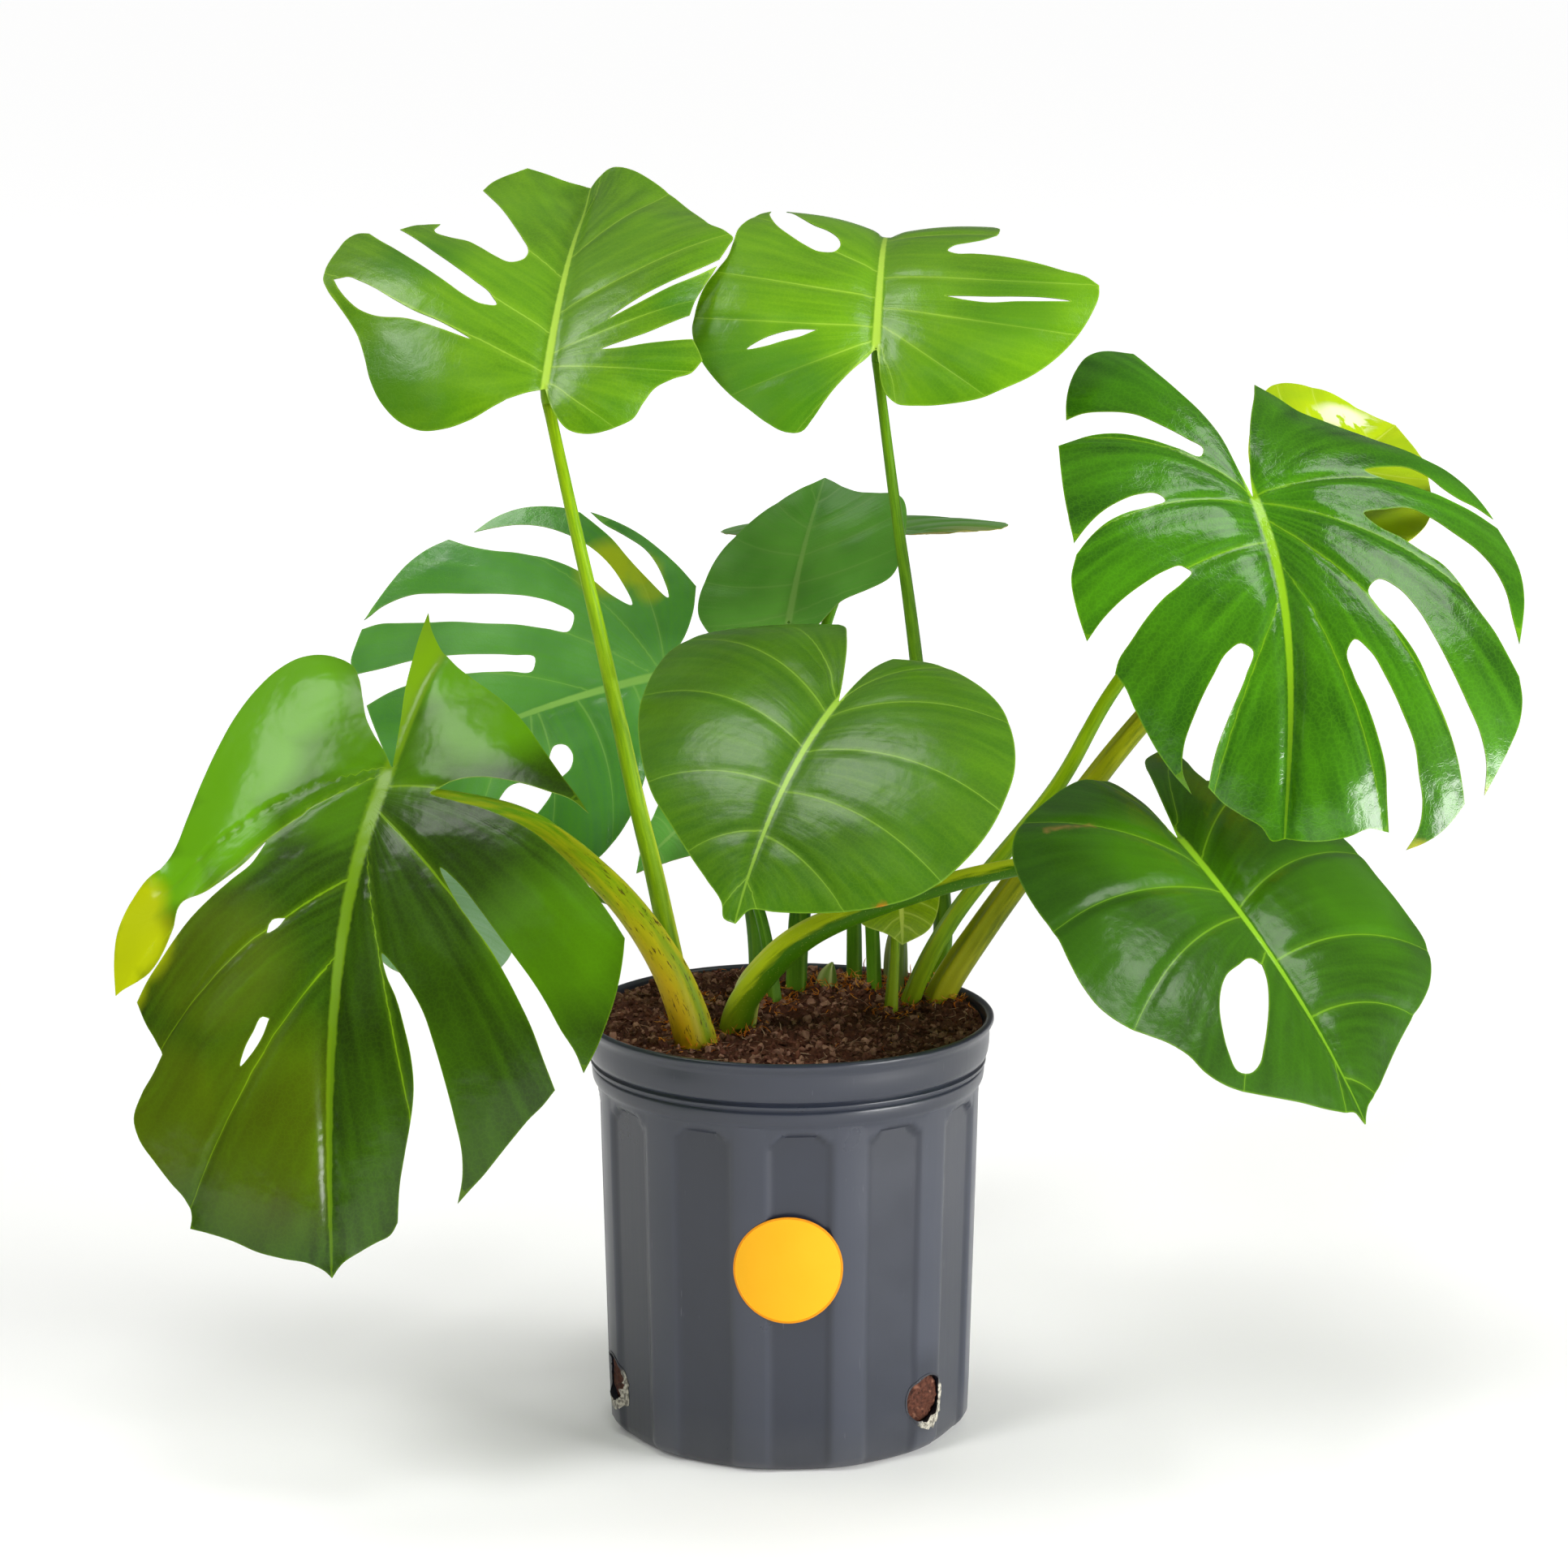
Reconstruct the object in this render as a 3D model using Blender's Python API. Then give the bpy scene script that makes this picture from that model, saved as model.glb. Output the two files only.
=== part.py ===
# Potted swiss cheese plant: a nursery pot, its potting soil, and the plant's
# leaves, each a split or heart-shaped blade on its own stem.
# Units are metres; the tables below are in millimetres and degrees.
# The pot stands on Z = 0 and -Y is the side that the plant shows to the viewer.

import math

import bmesh
import bpy
import numpy as np
from mathutils import Vector
from mathutils.bvhtree import BVHTree
from mathutils.geometry import barycentric_transform, delaunay_2d_cdt

for item in list(bpy.data.objects):
    bpy.data.objects.remove(item, do_unlink=True)

MM = 0.001
CLEARANCE = 0.3 * MM

# Pot: blow-moulded, with a lip band, a second narrow band and fluted walls
POT_HEIGHT = 269 * MM
POT_WALL = 2.2 * MM
POT_FLOOR = 3 * MM
WALL_RADIUS_TOP = 120.5 * MM
WALL_RADIUS_BOTTOM = 114 * MM
FOOT_RADIUS = 106 * MM
FOOT_ROUND = 9 * MM
LIP_RADIUS = 131.5 * MM
LIP_BAND = 30 * MM
SECOND_BAND = 11 * MM
FLUTES = 12
FLUTE_RISE = 1.8 * MM
FIRST_FLUTE = 11
DRAIN_RADIUS = 16 * MM
DRAIN_HEIGHT = 37 * MM
DRAIN_ANGLES = (48, 168, 288)

# Label: a plain round sticker that bridges the flutes
LABEL_RADIUS = 34.5 * MM
LABEL_HEIGHT = 135 * MM
LABEL_THICKNESS = 0.6 * MM

# Soil fills the pot to just below the lip
SOIL_TOP = 257 * MM
SOIL_ROUGHNESS = 3.5 * MM
STEM_DEPTH = 30 * MM

BLADE_THICKNESS = 1.2 * MM
STEM_SIDES = 8

# Leaves. "at" is where the stem meets the blade. Heading is the way the midrib
# points, 0 away from the viewer and 90 to the right; pitch is its rise at the
# stem, bend the change of pitch to the tip (late in its length where late is
# above 1) and curl a lift of the last fifth; sway and roll turn it sideways.
# Places on a blade are flat: (out from the midrib, along the midrib). Each half
# is a fan of veins that run to the points of its margin, notch first; veins
# holds (place on the margin, share of the midrib where that vein starts). Fold
# is the rise of the blade beside the midrib, at the notch and at the tip, and
# then the same two for its droop at the margin. Edge is the half's real outline
# from the notch to the tip, in strokes that meet at corners, so that a split is
# a stroke of its own; without it the margin is the outline.
LEAVES = {
    "leaf_upper_left": dict(
        at=(-150, -20, 670), heading=5, pitch=40, bend=-33, curl=20, length=245, tip=252, bow=0.12,
        right=dict(
            fold=(14, 16, -25, 0),
            margin=((15, -30), (50, -30), (70, 5), (95, 25), (85, 65), (100, 125), (105, 160),
                    (80, 185), (40, 235), (10, 255), (0, 245)),
            veins=((3.4, 0.10), (5.15, 0.15)),
            edge=(((4, -12), (9, -23), (17, -32), (30, -35), (45, -32), (57, -24), (63, -10),
                   (69, 2), (80, 11), (91, 17), (97, 26)),
                  ((93, 35), (89, 43)),
                  ((76, 38), (60, 33), (46, 29), (34, 28), (48, 36), (60, 43), (72, 53), (85, 66)),
                  ((87, 80), (92, 98), (96, 112), (98, 120)),
                  ((86, 103), (71, 86), (54, 69), (36, 55), (53, 73), (70, 90), (85, 107), (99, 127)),
                  ((103, 142), (105, 154), (98, 161), (90, 167), (83, 180), (75, 196), (66, 213),
                   (54, 231), (40, 247), (26, 259), (12, 264), (4, 259)))),
        left=dict(
            fold=(14, 16, -25, 4),
            margin=((35, -20), (60, -30), (100, -5), (130, 60), (150, 105), (145, 145),
                    (130, 150), (105, 160), (80, 160), (65, 220), (40, 245), (0, 245)),
            veins=((4.1, 0.05), (6.2, 0.20), (8.5, 0.45)),
            edge=(((10, -7), (20, -13), (32, -19), (46, -26), (60, -31), (75, -31), (90, -24),
                   (103, -10), (112, 8), (118, 28), (125, 48), (133, 64), (142, 80), (151, 96),
                   (156, 110), (154, 125), (150, 138), (146, 149), (139, 155), (132, 153)),
                  ((124, 141), (112, 126), (99, 110), (85, 95), (71, 82), (58, 71), (47, 65),
                   (38, 66), (42, 76), (55, 88), (69, 101), (82, 115), (94, 131), (105, 146), (112, 155)),
                  ((104, 162), (96, 169), (88, 168)),
                  ((90, 157), (87, 148), (78, 142), (66, 137), (56, 128), (46, 119), (36, 114),
                   (28, 120), (26, 132), (32, 147), (39, 162), (46, 177), (54, 193), (61, 206), (67, 217)),
                  ((63, 228), (55, 239), (48, 247), (43, 256)),
                  ((30, 257), (15, 254))),
            holes=(((148, 104), (142, 91), (134, 78), (124, 66), (110, 56), (92, 50), (72, 41),
                    (50, 32), (70, 46), (88, 56), (102, 67), (116, 80), (129, 92), (139, 101)),))),
    "leaf_upper_middle": dict(
        at=(55, 30, 690), heading=4, pitch=42, bend=-85, late=1.5, length=225, bow=0.12,
        right=dict(
            fold=(14, 12, -25, 0),
            margin=((5, -30), (15, -45), (45, -45), (85, -30), (120, 0), (135, 30), (140, 50),
                    (120, 70), (85, 130), (40, 190), (0, 225)),
            veins=((5.4, 0.20),),
            edge=(((2, -14), (4, -28), (8, -38), (15, -45), (30, -47), (50, -45), (66, -41),
                   (82, -33), (97, -24), (111, -12), (122, 1), (130, 14), (136, 28), (140, 42),
                   (140, 50)),
                  ((130, 57), (118, 60), (105, 65), (90, 70), (75, 74), (60, 77), (48, 79),
                   (43, 84), (47, 91), (56, 94), (65, 98), (72, 106), (75, 115)),
                  ((75, 128), (70, 141), (62, 156), (52, 171), (40, 187), (23, 206))),
            holes=(((43, 37), (55, 36), (70, 35), (88, 35), (106, 35), (122, 34), (106, 32),
                    (88, 31), (70, 30), (55, 33)),)),
        left=dict(
            fold=(14, 18, -30, 10),
            margin=((40, -60), (50, -70), (70, -60), (95, -35), (115, 0), (115, 25), (110, 45),
                    (100, 65), (90, 105), (70, 140), (40, 190), (0, 225)),
            veins=((4.2, 0.05), (9.0, 0.35)),
            edge=(((5, -10), (13, -21), (21, -33), (30, -47), (38, -59), (45, -67), (55, -68),
                   (66, -62), (78, -52), (91, -40), (101, -28), (110, -14), (115, -1), (117, 10),
                   (116, 21), (112, 40), (105, 56), (99, 68), (96, 85), (94, 103), (89, 118),
                   (82, 134), (76, 144)),
                  ((76, 130), (73, 117), (68, 105), (60, 95), (50, 86), (41, 81), (33, 83),
                   (28, 91), (30, 103), (37, 110), (46, 114), (54, 123), (60, 134), (65, 146),
                   (67, 155)),
                  ((58, 168), (48, 182), (36, 196), (20, 211))),
            holes=(((38, 7), (50, 6), (62, 2), (72, -3), (81, -10), (69, -8), (59, -4), (49, 0)),))),
    "leaf_right": dict(
        at=(290, 0, 600), heading=158, sway=42, pitch=-40, bend=-38, length=240, tip=231, bow=0.2,
        right=dict(
            fold=(12, 5, -20, -10),
            margin=((35, -135), (65, -135), (90, -100), (105, -65), (115, -50), (125, -15),
                    (130, 25), (135, 45), (130, 100), (110, 120), (85, 165), (55, 205),
                    (35, 210), (0, 240)),
            veins=((3.2, 0), (6.3, 0.03), (8.3, 0.15), (11.4, 0.30)),
            edge=(((4, -20), (8, -45), (14, -65), (23, -88), (30, -110), (34, -132)),
                  ((50, -137), (66, -133), (78, -122), (88, -108), (96, -92), (101, -78)),
                  ((90, -80), (75, -77), (58, -70), (45, -58), (32, -45), (24, -36), (27, -31),
                   (40, -38), (58, -49), (75, -57), (95, -60), (114, -56)),
                  ((120, -35), (126, -10), (129, 8), (130, 26)),
                  ((120, 16), (108, 7), (95, 1), (80, -3), (68, -2), (64, 3), (75, 7), (92, 10),
                   (108, 16), (120, 25), (130, 36)),
                  ((135, 52), (134, 75), (131, 90), (128, 101)),
                  ((118, 88), (105, 76), (90, 66), (75, 58), (64, 55), (58, 59), (65, 67), (78, 77),
                   (90, 90), (100, 104), (108, 116), (110, 124)),
                  ((104, 133), (98, 147), (90, 163), (82, 177), (72, 191), (60, 204)),
                  ((66, 190), (66, 175), (60, 155), (49, 131), (39, 115), (31, 110), (24, 114),
                   (28, 130), (38, 155), (46, 178), (50, 200)),
                  ((42, 208), (28, 217), (14, 225), (7, 233)))),
        left=dict(
            fold=(12, 5, -20, -10),
            margin=((40, -95), (75, -65), (110, -45), (150, -20), (165, 25), (165, 35),
                    (165, 70), (155, 115), (150, 145), (120, 210), (110, 215), (90, 235),
                    (65, 240), (55, 225), (40, 230), (15, 232), (0, 240)),
            veins=((4.1, 0), (7.3, 0.02), (9.3, 0.07), (12.4, 0.20)),
            edge=(((3, -15), (8, -32), (15, -50), (24, -68), (34, -85), (44, -103)),
                  ((55, -90), (64, -75), (80, -66), (98, -54), (115, -38), (130, -24), (145, -15),
                   (156, -3), (163, 10), (167, 24)),
                  ((155, 17), (143, 12), (133, 5), (126, -4), (115, -11), (98, -12), (80, -9),
                   (90, -3), (105, 2), (120, 8), (135, 15), (150, 22), (166, 32)),
                  ((168, 50), (168, 65), (164, 85), (158, 102), (153, 115)),
                  ((151, 98), (150, 80), (146, 67), (137, 53), (125, 42), (112, 30), (99, 22),
                   (82, 22), (66, 24), (72, 34), (84, 43), (96, 54), (108, 64), (118, 78),
                   (126, 94), (135, 108), (142, 122), (149, 136)),
                  ((150, 150), (147, 164), (140, 178), (132, 192), (122, 209)),
                  ((123, 190), (119, 172), (110, 152), (101, 132), (92, 112), (82, 92), (72, 79),
                   (61, 73), (53, 80), (57, 90), (67, 104), (78, 122), (88, 145), (98, 168),
                   (105, 190), (109, 213)),
                  ((102, 222), (94, 230), (84, 236), (73, 240)),
                  ((80, 228), (82, 212), (79, 195), (76, 178), (68, 158), (58, 136), (48, 118),
                   (40, 111), (35, 118), (38, 133), (46, 152), (53, 172), (58, 190), (60, 210),
                   (62, 229)),
                  ((50, 225), (38, 229), (20, 232))))),
    "leaf_lower_right": dict(
        at=(240, -80, 400), heading=146, sway=-18, pitch=-28, bend=-32, length=220, tip=219, bow=0.15,
        right=dict(
            fold=(10, 5, -20, -10),
            margin=((-5, -50), (20, -70), (65, -55), (110, -25), (135, 35), (145, 90),
                    (130, 125), (105, 160), (70, 185), (25, 205), (0, 220)),
            veins=((7.5, 0.40),),
            edge=(((3, -8), (3, -22), (2, -37), (4, -52), (10, -64)),
                  ((25, -70), (42, -66), (60, -58), (76, -50), (92, -41), (106, -30), (117, -17),
                   (125, -2), (131, 16), (135, 36), (137, 56), (142, 75), (145, 92), (144, 107),
                   (138, 119), (127, 130), (115, 140), (107, 150), (102, 162), (92, 173),
                   (78, 181), (62, 188), (45, 195), (30, 202), (15, 208), (5, 211))),
            holes=(((13, 107), (20, 120), (30, 133), (42, 146), (54, 158), (64, 167), (73, 170),
                    (80, 167), (80, 155), (76, 142), (70, 130), (61, 119), (49, 110), (34, 105),
                    (20, 102)),)),
        left=dict(
            fold=(10, 5, -20, -10),
            margin=((25, -70), (55, -85), (100, -65), (120, -20), (130, 40), (135, 100),
                    (125, 140), (90, 165), (40, 195), (0, 220)),
            edge=(((3, -12), (7, -28), (13, -45), (20, -60), (28, -74), (38, -85), (49, -89)),
                  ((54, -80), (53, -67), (50, -54), (51, -43)),
                  ((64, -41), (82, -40), (98, -32), (112, -17), (122, 0), (128, 16), (132, 34),
                   (133, 58), (136, 76), (139, 95), (142, 110), (140, 123), (134, 134), (125, 145),
                   (112, 155), (96, 164), (78, 174), (60, 184), (40, 195), (20, 205), (8, 210))))),
    "leaf_front": dict(
        at=(30, -130, 495), heading=212, sway=-4, pitch=-26, bend=-34, length=168, bow=0.15,
        right=dict(
            fold=(10, 5, -25, -10),
            margin=((50, -90), (100, -85), (150, -60), (145, -5), (105, 70), (60, 115),
                    (20, 150), (0, 168)),
            edge=(((7, -20), (17, -43), (29, -64), (41, -81), (52, -90)),
                  ((75, -90), (100, -86), (124, -77), (143, -66), (152, -50), (152, -28), (146, -4),
                   (136, 20), (121, 46), (104, 70), (85, 92), (65, 110), (45, 128), (26, 144),
                   (12, 157), (8, 166)))),
        left=dict(
            fold=(10, 5, -25, -10),
            margin=((10, -55), (55, -50), (110, -15), (140, 40), (135, 95), (115, 130),
                    (70, 150), (25, 158), (0, 168)),
            edge=(((3, -16), (6, -34), (10, -52)),
                  ((27, -54), (46, -51), (66, -44), (84, -34), (100, -21), (114, -5), (127, 15),
                   (136, 37), (139, 60), (138, 82), (132, 103), (122, 121), (108, 135), (88, 145),
                   (65, 152), (42, 156), (22, 158), (7, 159))))),
    "leaf_back_middle": dict(
        at=(0, 95, 505), heading=20, pitch=60, bend=-20, length=112, bow=0.15,
        right=dict(fold=(8, 8, -18, 0),
                   margin=((10, -5), (35, 18), (65, 40), (67, 70), (58, 97), (25, 100), (0, 112))),
        left=dict(fold=(8, 8, -18, 0),
                  margin=((10, -12), (36, -19), (62, 0), (60, 36), (40, 72), (14, 100), (0, 112)))),
    "leaf_left_back": dict(
        at=(-80, 100, 470), heading=268, pitch=-12, bend=-16, roll=-62, length=190, bow=0.2,
        right=dict(
            fold=(8, 5, -20, -10),
            margin=((55, -30), (85, -15), (110, 5), (130, 30), (135, 45), (140, 65),
                    (135, 100), (140, 120), (130, 150), (115, 180), (105, 185), (85, 195),
                    (70, 195), (50, 190), (30, 185), (0, 190)),
            veins=((3.2, 0), (6.4, 0.01), (9.3, 0.03), (12.2, 0.25)),
            edge=(((10, -7), (21, -17), (38, -26), (57, -31)),
                  ((72, -23), (88, -12), (104, 1), (116, 14), (126, 27)),
                  ((113, 19), (100, 7), (88, -3), (70, -10), (50, -12), (68, 0), (85, 9), (100, 16),
                   (113, 24), (127, 33)),
                  ((134, 43), (140, 57), (143, 72), (142, 88), (137, 101)),
                  ((134, 86), (130, 72), (123, 58), (113, 45), (102, 34), (88, 24), (70, 16), (50, 12),
                   (60, 23), (74, 33), (88, 46), (99, 60), (108, 75), (116, 90), (126, 104), (138, 117)),
                  ((138, 132), (134, 147), (126, 160), (117, 172), (110, 182)),
                  ((112, 166), (110, 148), (102, 130), (92, 110), (83, 90), (74, 72), (64, 58),
                   (53, 49), (44, 54), (50, 68), (59, 85), (68, 105), (78, 124), (86, 142),
                   (94, 158), (101, 172), (104, 184)),
                  ((96, 190), (86, 196), (76, 194)),
                  ((70, 176), (65, 156), (57, 132), (48, 110), (40, 92), (33, 79), (26, 82),
                   (31, 98), (37, 114), (43, 132), (49, 154), (52, 174), (52, 192)),
                  ((36, 191), (18, 190)))),
        left=dict(
            fold=(8, 5, -15, -10),
            margin=((50, 20), (80, 35), (95, 55), (110, 80), (95, 115), (100, 135), (90, 160),
                    (70, 175), (30, 185), (0, 190)),
            veins=((3.4, 0.45), (6.4, 0.50)),
            edge=(((15, 2), (32, 10), (50, 20), (66, 29), (80, 38), (92, 50), (102, 64), (109, 80),
                   (109, 95), (103, 112), (92, 127), (78, 138)),
                  ((72, 121), (64, 103), (56, 94), (46, 106), (43, 119), (50, 132), (60, 148)),
                  ((57, 162), (45, 173), (25, 183))),
            holes=(((50, 85), (46, 77), (38, 73), (30, 76), (28, 83), (35, 89), (44, 90)),))),
    "leaf_front_left": dict(
        at=(-245, -60, 440), heading=202, sway=-32, pitch=-38, bend=-44, length=330, bow=0.15,
        right=dict(
            fold=(15, 5, -10, -15),
            margin=((50, -75), (85, -80), (110, -60), (120, -5), (115, 60), (110, 105),
                    (140, 105), (140, 175), (125, 175), (105, 200), (110, 215), (120, 240),
                    (85, 285), (80, 295), (45, 310), (10, 322), (0, 330)),
            veins=((5.3, 0), (7.4, 0.01), (9.4, 0.25), (12.4, 0.40)),
            edge=(((8, -10), (18, -20), (27, -31), (35, -46), (44, -62), (54, -74), (66, -80),
                   (80, -82), (94, -78), (105, -66), (113, -48), (118, -25), (120, 0), (121, 30),
                   (121, 55), (122, 74), (127, 89), (136, 101), (144, 116), (147, 134), (145, 153),
                   (140, 174)),
                  ((130, 166), (119, 158), (111, 145), (107, 130), (104, 116), (93, 108), (81, 98),
                   (69, 85), (59, 69), (64, 84), (75, 97), (86, 110), (96, 123), (104, 136),
                   (112, 150), (119, 162), (125, 175)),
                  ((117, 187), (109, 196), (104, 203)),
                  ((109, 213), (116, 226), (120, 240), (116, 252), (106, 265), (96, 277), (86, 288),
                   (83, 296), (84, 303)),
                  ((72, 305), (58, 309), (44, 315), (28, 319), (12, 322), (4, 326))),
            holes=(((38, 178), (42, 190), (48, 200), (54, 207), (52, 197), (47, 186), (42, 177)),
                   ((36, 115), (40, 122), (46, 126), (44, 118)))),
        left=dict(
            fold=(15, 5, -10, -15),
            margin=((-20, -115), (10, -85), (60, -55), (105, -10), (140, 25), (160, 90),
                    (180, 115), (175, 160), (160, 200), (140, 215), (120, 235), (80, 285),
                    (45, 295), (20, 312), (0, 330)),
            veins=((4.5, 0.05), (8.5, 0.10), (11.5, 0.15)),
            edge=(((-2, -15), (-5, -35), (-9, -55), (-13, -80), (-17, -103), (-21, -126)),
                  ((-12, -110), (0, -96), (13, -84), (28, -74), (45, -64), (62, -53), (80, -38),
                   (98, -20), (115, -3), (130, 12), (143, 27)),
                  ((130, 19), (115, 16), (100, 13), (85, 11), (70, 10), (55, 12), (45, 16), (37, 22),
                   (55, 29), (75, 34), (95, 41), (113, 49), (130, 60), (145, 72), (158, 85),
                   (170, 99), (180, 113)),
                  ((180, 125), (179, 138), (176, 155), (171, 172), (166, 186), (158, 202)),
                  ((153, 190), (144, 177), (135, 162), (126, 149), (116, 137), (103, 122), (89, 106),
                   (75, 91), (58, 78), (70, 97), (84, 114), (97, 129), (108, 145), (117, 160),
                   (126, 177), (133, 195), (140, 213)),
                  ((132, 223), (124, 231), (115, 242), (105, 255), (95, 268), (86, 278), (79, 286)),
                  ((82, 270), (82, 255), (78, 235), (72, 212), (65, 190), (57, 170), (48, 156),
                   (38, 144), (28, 135), (32, 148), (40, 163), (46, 180), (51, 198), (53, 216),
                   (51, 235), (47, 255), (43, 275), (41, 298)),
                  ((36, 306), (28, 310), (18, 315), (7, 321))))),
    "leaf_right_young": dict(
        at=(325, 80, 570), heading=36, pitch=28, bend=-14, length=145, bow=0.15,
        right=dict(fold=(10, 8, -15, 0),
                   margin=((40, -30), (75, -25), (90, 0), (64, 68), (0, 145))),
        left=dict(fold=(16, 16, -8, 4),
                  margin=((18, 8), (56, 50), (86, 112), (95, 158), (58, 162), (0, 145)))),
    "leaf_hidden_middle": dict(
        at=(-45, 30, 400), heading=258, pitch=-30, bend=-20, roll=-30, length=70, bow=0.15,
        right=dict(fold=(10, 5, -20, -5),
                   margin=((10, -20), (30, -20), (38, 10), (22, 40), (0, 70))),
        left=dict(fold=(10, 5, -20, -5),
                  margin=((10, -20), (30, -20), (38, 10), (22, 40), (0, 70)))),
    "leaf_hidden_left": dict(
        at=(-245, 40, 360), heading=150, pitch=-15, bend=-40, length=120, bow=0.15,
        right=dict(fold=(8, 5, -20, -5),
                   margin=((10, -15), (40, 10), (60, 60), (50, 95), (20, 112), (0, 120))),
        left=dict(fold=(8, 5, -20, -5),
                  margin=((25, -20), (45, 5), (50, 55), (35, 95), (0, 120)))),
    "leaf_back": dict(
        at=(43, 250, 546), heading=148, pitch=2, bend=6, length=125, bow=0.15,
        right=dict(fold=(7, 6, -6, -4),
                   margin=((10, -35), (55, -45), (95, -15), (104, 15), (80, 62), (40, 98), (0, 125))),
        left=dict(fold=(7, 4, -12, -10),
                  margin=((10, -35), (50, -45), (88, -12), (100, 30), (82, 70), (45, 100), (0, 125)))),
    "leaf_small": dict(
        at=(70, -6, 358), heading=172, pitch=-50, bend=-35, length=44, bow=0.15,
        right=dict(fold=(14, 5, -12, -5),
                   margin=((5, -10), (25, -8), (34, 12), (27, 29), (8, 38), (0, 42))),
        left=dict(fold=(14, 5, -12, -5),
                  margin=((10, -10), (23, -5), (25, 16), (18, 34), (0, 42)))),
}

# Stems: where each leaves the soil (x, y, radius there), the points it passes
# and its radius under the blade
STEMS = {
    "upper_left": dict(base=(-66, -14, 7), way=((-82, -16, 351), (-96, -20, 414), (-113, -25, 498),
                                                (-133, -25, 590)), top=3.5),
    "upper_middle": dict(base=(88, 60, 6.5), way=((101, 60, 311), (82, 45, 488), (66, 30, 602)), top=3),
    "right": dict(base=(78, 26, 6), way=((106, 20, 326), (170, 22, 409), (211, 35, 477)), top=4),
    "lower_right": dict(base=(-34, -20, 9.5), way=((-19, -30, 296), (20, -45, 334), (95, -50, 363),
                                                   (166, -55, 379)), top=4.5),
    "front": dict(base=(5, 48, 7), way=((8, 40, 320), (18, -30, 420)), top=4.5),
    "back_middle": dict(base=(44, 72, 5), way=((40, 90, 350), (15, 110, 440)), top=3.5),
    "left_back": dict(base=(-19, 38, 6), way=((-24, 50, 330), (-50, 85, 420)), top=4),
    "front_left": dict(base=(-60, -56, 11.5), way=((-79, -54, 318), (-115, -45, 365),
                                                   (-168, -30, 401)), top=6.5),
    "right_young": dict(base=(97, 33, 9), way=((128, 40, 316), (188, 50, 397), (232, 60, 451)), top=6),
    "hidden_middle": dict(base=(-8, 18, 4), way=((-16, 20, 320), (-30, 25, 360)), top=3),
    "hidden_left": dict(base=(-62, 24, 5), way=((-89, 28, 313), (-125, 25, 340), (-205, 48, 325)), top=3.5),
    "back": dict(base=(57, 48, 4.5), way=((50, 90, 350), (20, 190, 450)), top=3.5),
    "small": dict(base=(66, 8, 4.5), way=((68, 10, 305),), top=2),
}

# Leaf sheaths that stand in the soil without a blade: (x, y, radius, height, lean)
SHEATHS = {
    "sheath_left": (26, 50, 6, 32, 3),
    "sheath_middle": (72, 74, 6.5, 60, 2),
    "sheath_right": (71, 52, 4.5, 70, 4),
}

YOUNG = ("right_young", "front_left", "small")


def make_material(name, color, roughness):
    """A plain surface of one colour."""
    material = bpy.data.materials.new(name)
    material.use_nodes = True
    shader = material.node_tree.nodes["Principled BSDF"]
    shader.inputs["Base Color"].default_value = (*color, 1)
    shader.inputs["Roughness"].default_value = roughness
    shader.inputs["Metallic"].default_value = 0
    material.diffuse_color = (*color, 1)
    return material


def make_object(name, points, faces, material, location=(0, 0, 0)):
    """An object from points and faces, with its origin at the location."""
    mesh = bpy.data.meshes.new(name)
    origin = np.asarray(location, float)
    mesh.from_pydata([tuple(np.asarray(p) - origin) for p in points], [], [tuple(f) for f in faces])
    mesh.validate()
    mesh.update()
    mesh.shade_smooth()
    mesh.materials.append(material)
    made = bpy.data.objects.new(name, mesh)
    made.location = Vector(origin)
    bpy.context.scene.collection.objects.link(made)
    return made


# Blades


def smooth(q, rows):
    """A smooth curve through rows[0], rows[1] ... read at the places q."""
    rows = np.asarray(rows, float)
    last = len(rows) - 1
    q = np.clip(np.asarray(q, float), 0, last)
    i = np.minimum(np.floor(q).astype(int), last - 1)
    t = (q - i)[..., None]
    here, after = rows[i], rows[i + 1]
    before = np.where(i[..., None] > 0, rows[np.maximum(i - 1, 0)], 2 * here - after)
    beyond = np.where(i[..., None] < last - 1, rows[np.minimum(i + 2, last)], 2 * after - here)
    leave, arrive = (after - before) / 2, (beyond - here) / 2
    return ((2 * t**3 - 3 * t**2 + 1) * here + (t**3 - 2 * t**2 + t) * leave
            + (-2 * t**3 + 3 * t**2) * after + (t**3 - t**2) * arrive)


def midrib(leaf, steps=60):
    """Distances along the midrib with its points and its side, forward and up directions."""
    share = np.linspace(0, 1, steps + 1)
    turn = share**leaf.get("late", 1)
    curl = leaf.get("curl", 0) * np.clip(5 * share - 4, 0, 1)
    pitch = np.radians(leaf["pitch"] + leaf["bend"] * turn + curl)
    heading = np.radians(leaf["heading"] + leaf.get("sway", 0) * turn)
    roll = np.radians(leaf.get("roll", 0))
    ahead = np.stack([np.cos(pitch) * np.sin(heading), np.cos(pitch) * np.cos(heading),
                      np.sin(pitch)], -1)
    level = np.stack([np.cos(heading), -np.sin(heading), np.zeros_like(heading)], -1)
    side = level * np.cos(roll) - np.cross(level, ahead) * np.sin(roll)
    up = np.cross(side, ahead)
    length = leaf["length"] * MM
    steps_taken = (ahead[1:] + ahead[:-1]) / 2 * length / steps
    start = np.array(leaf["at"]) * MM
    points = np.concatenate([[start], start + np.cumsum(steps_taken, 0)])
    return share * length, points, side, ahead, up


def read_along(distance, rib, values):
    """Values given along the midrib, read at other distances."""
    return np.stack([np.interp(distance, rib, values[:, k]) for k in range(3)], -1)


RIB_END = 0.93


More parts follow.
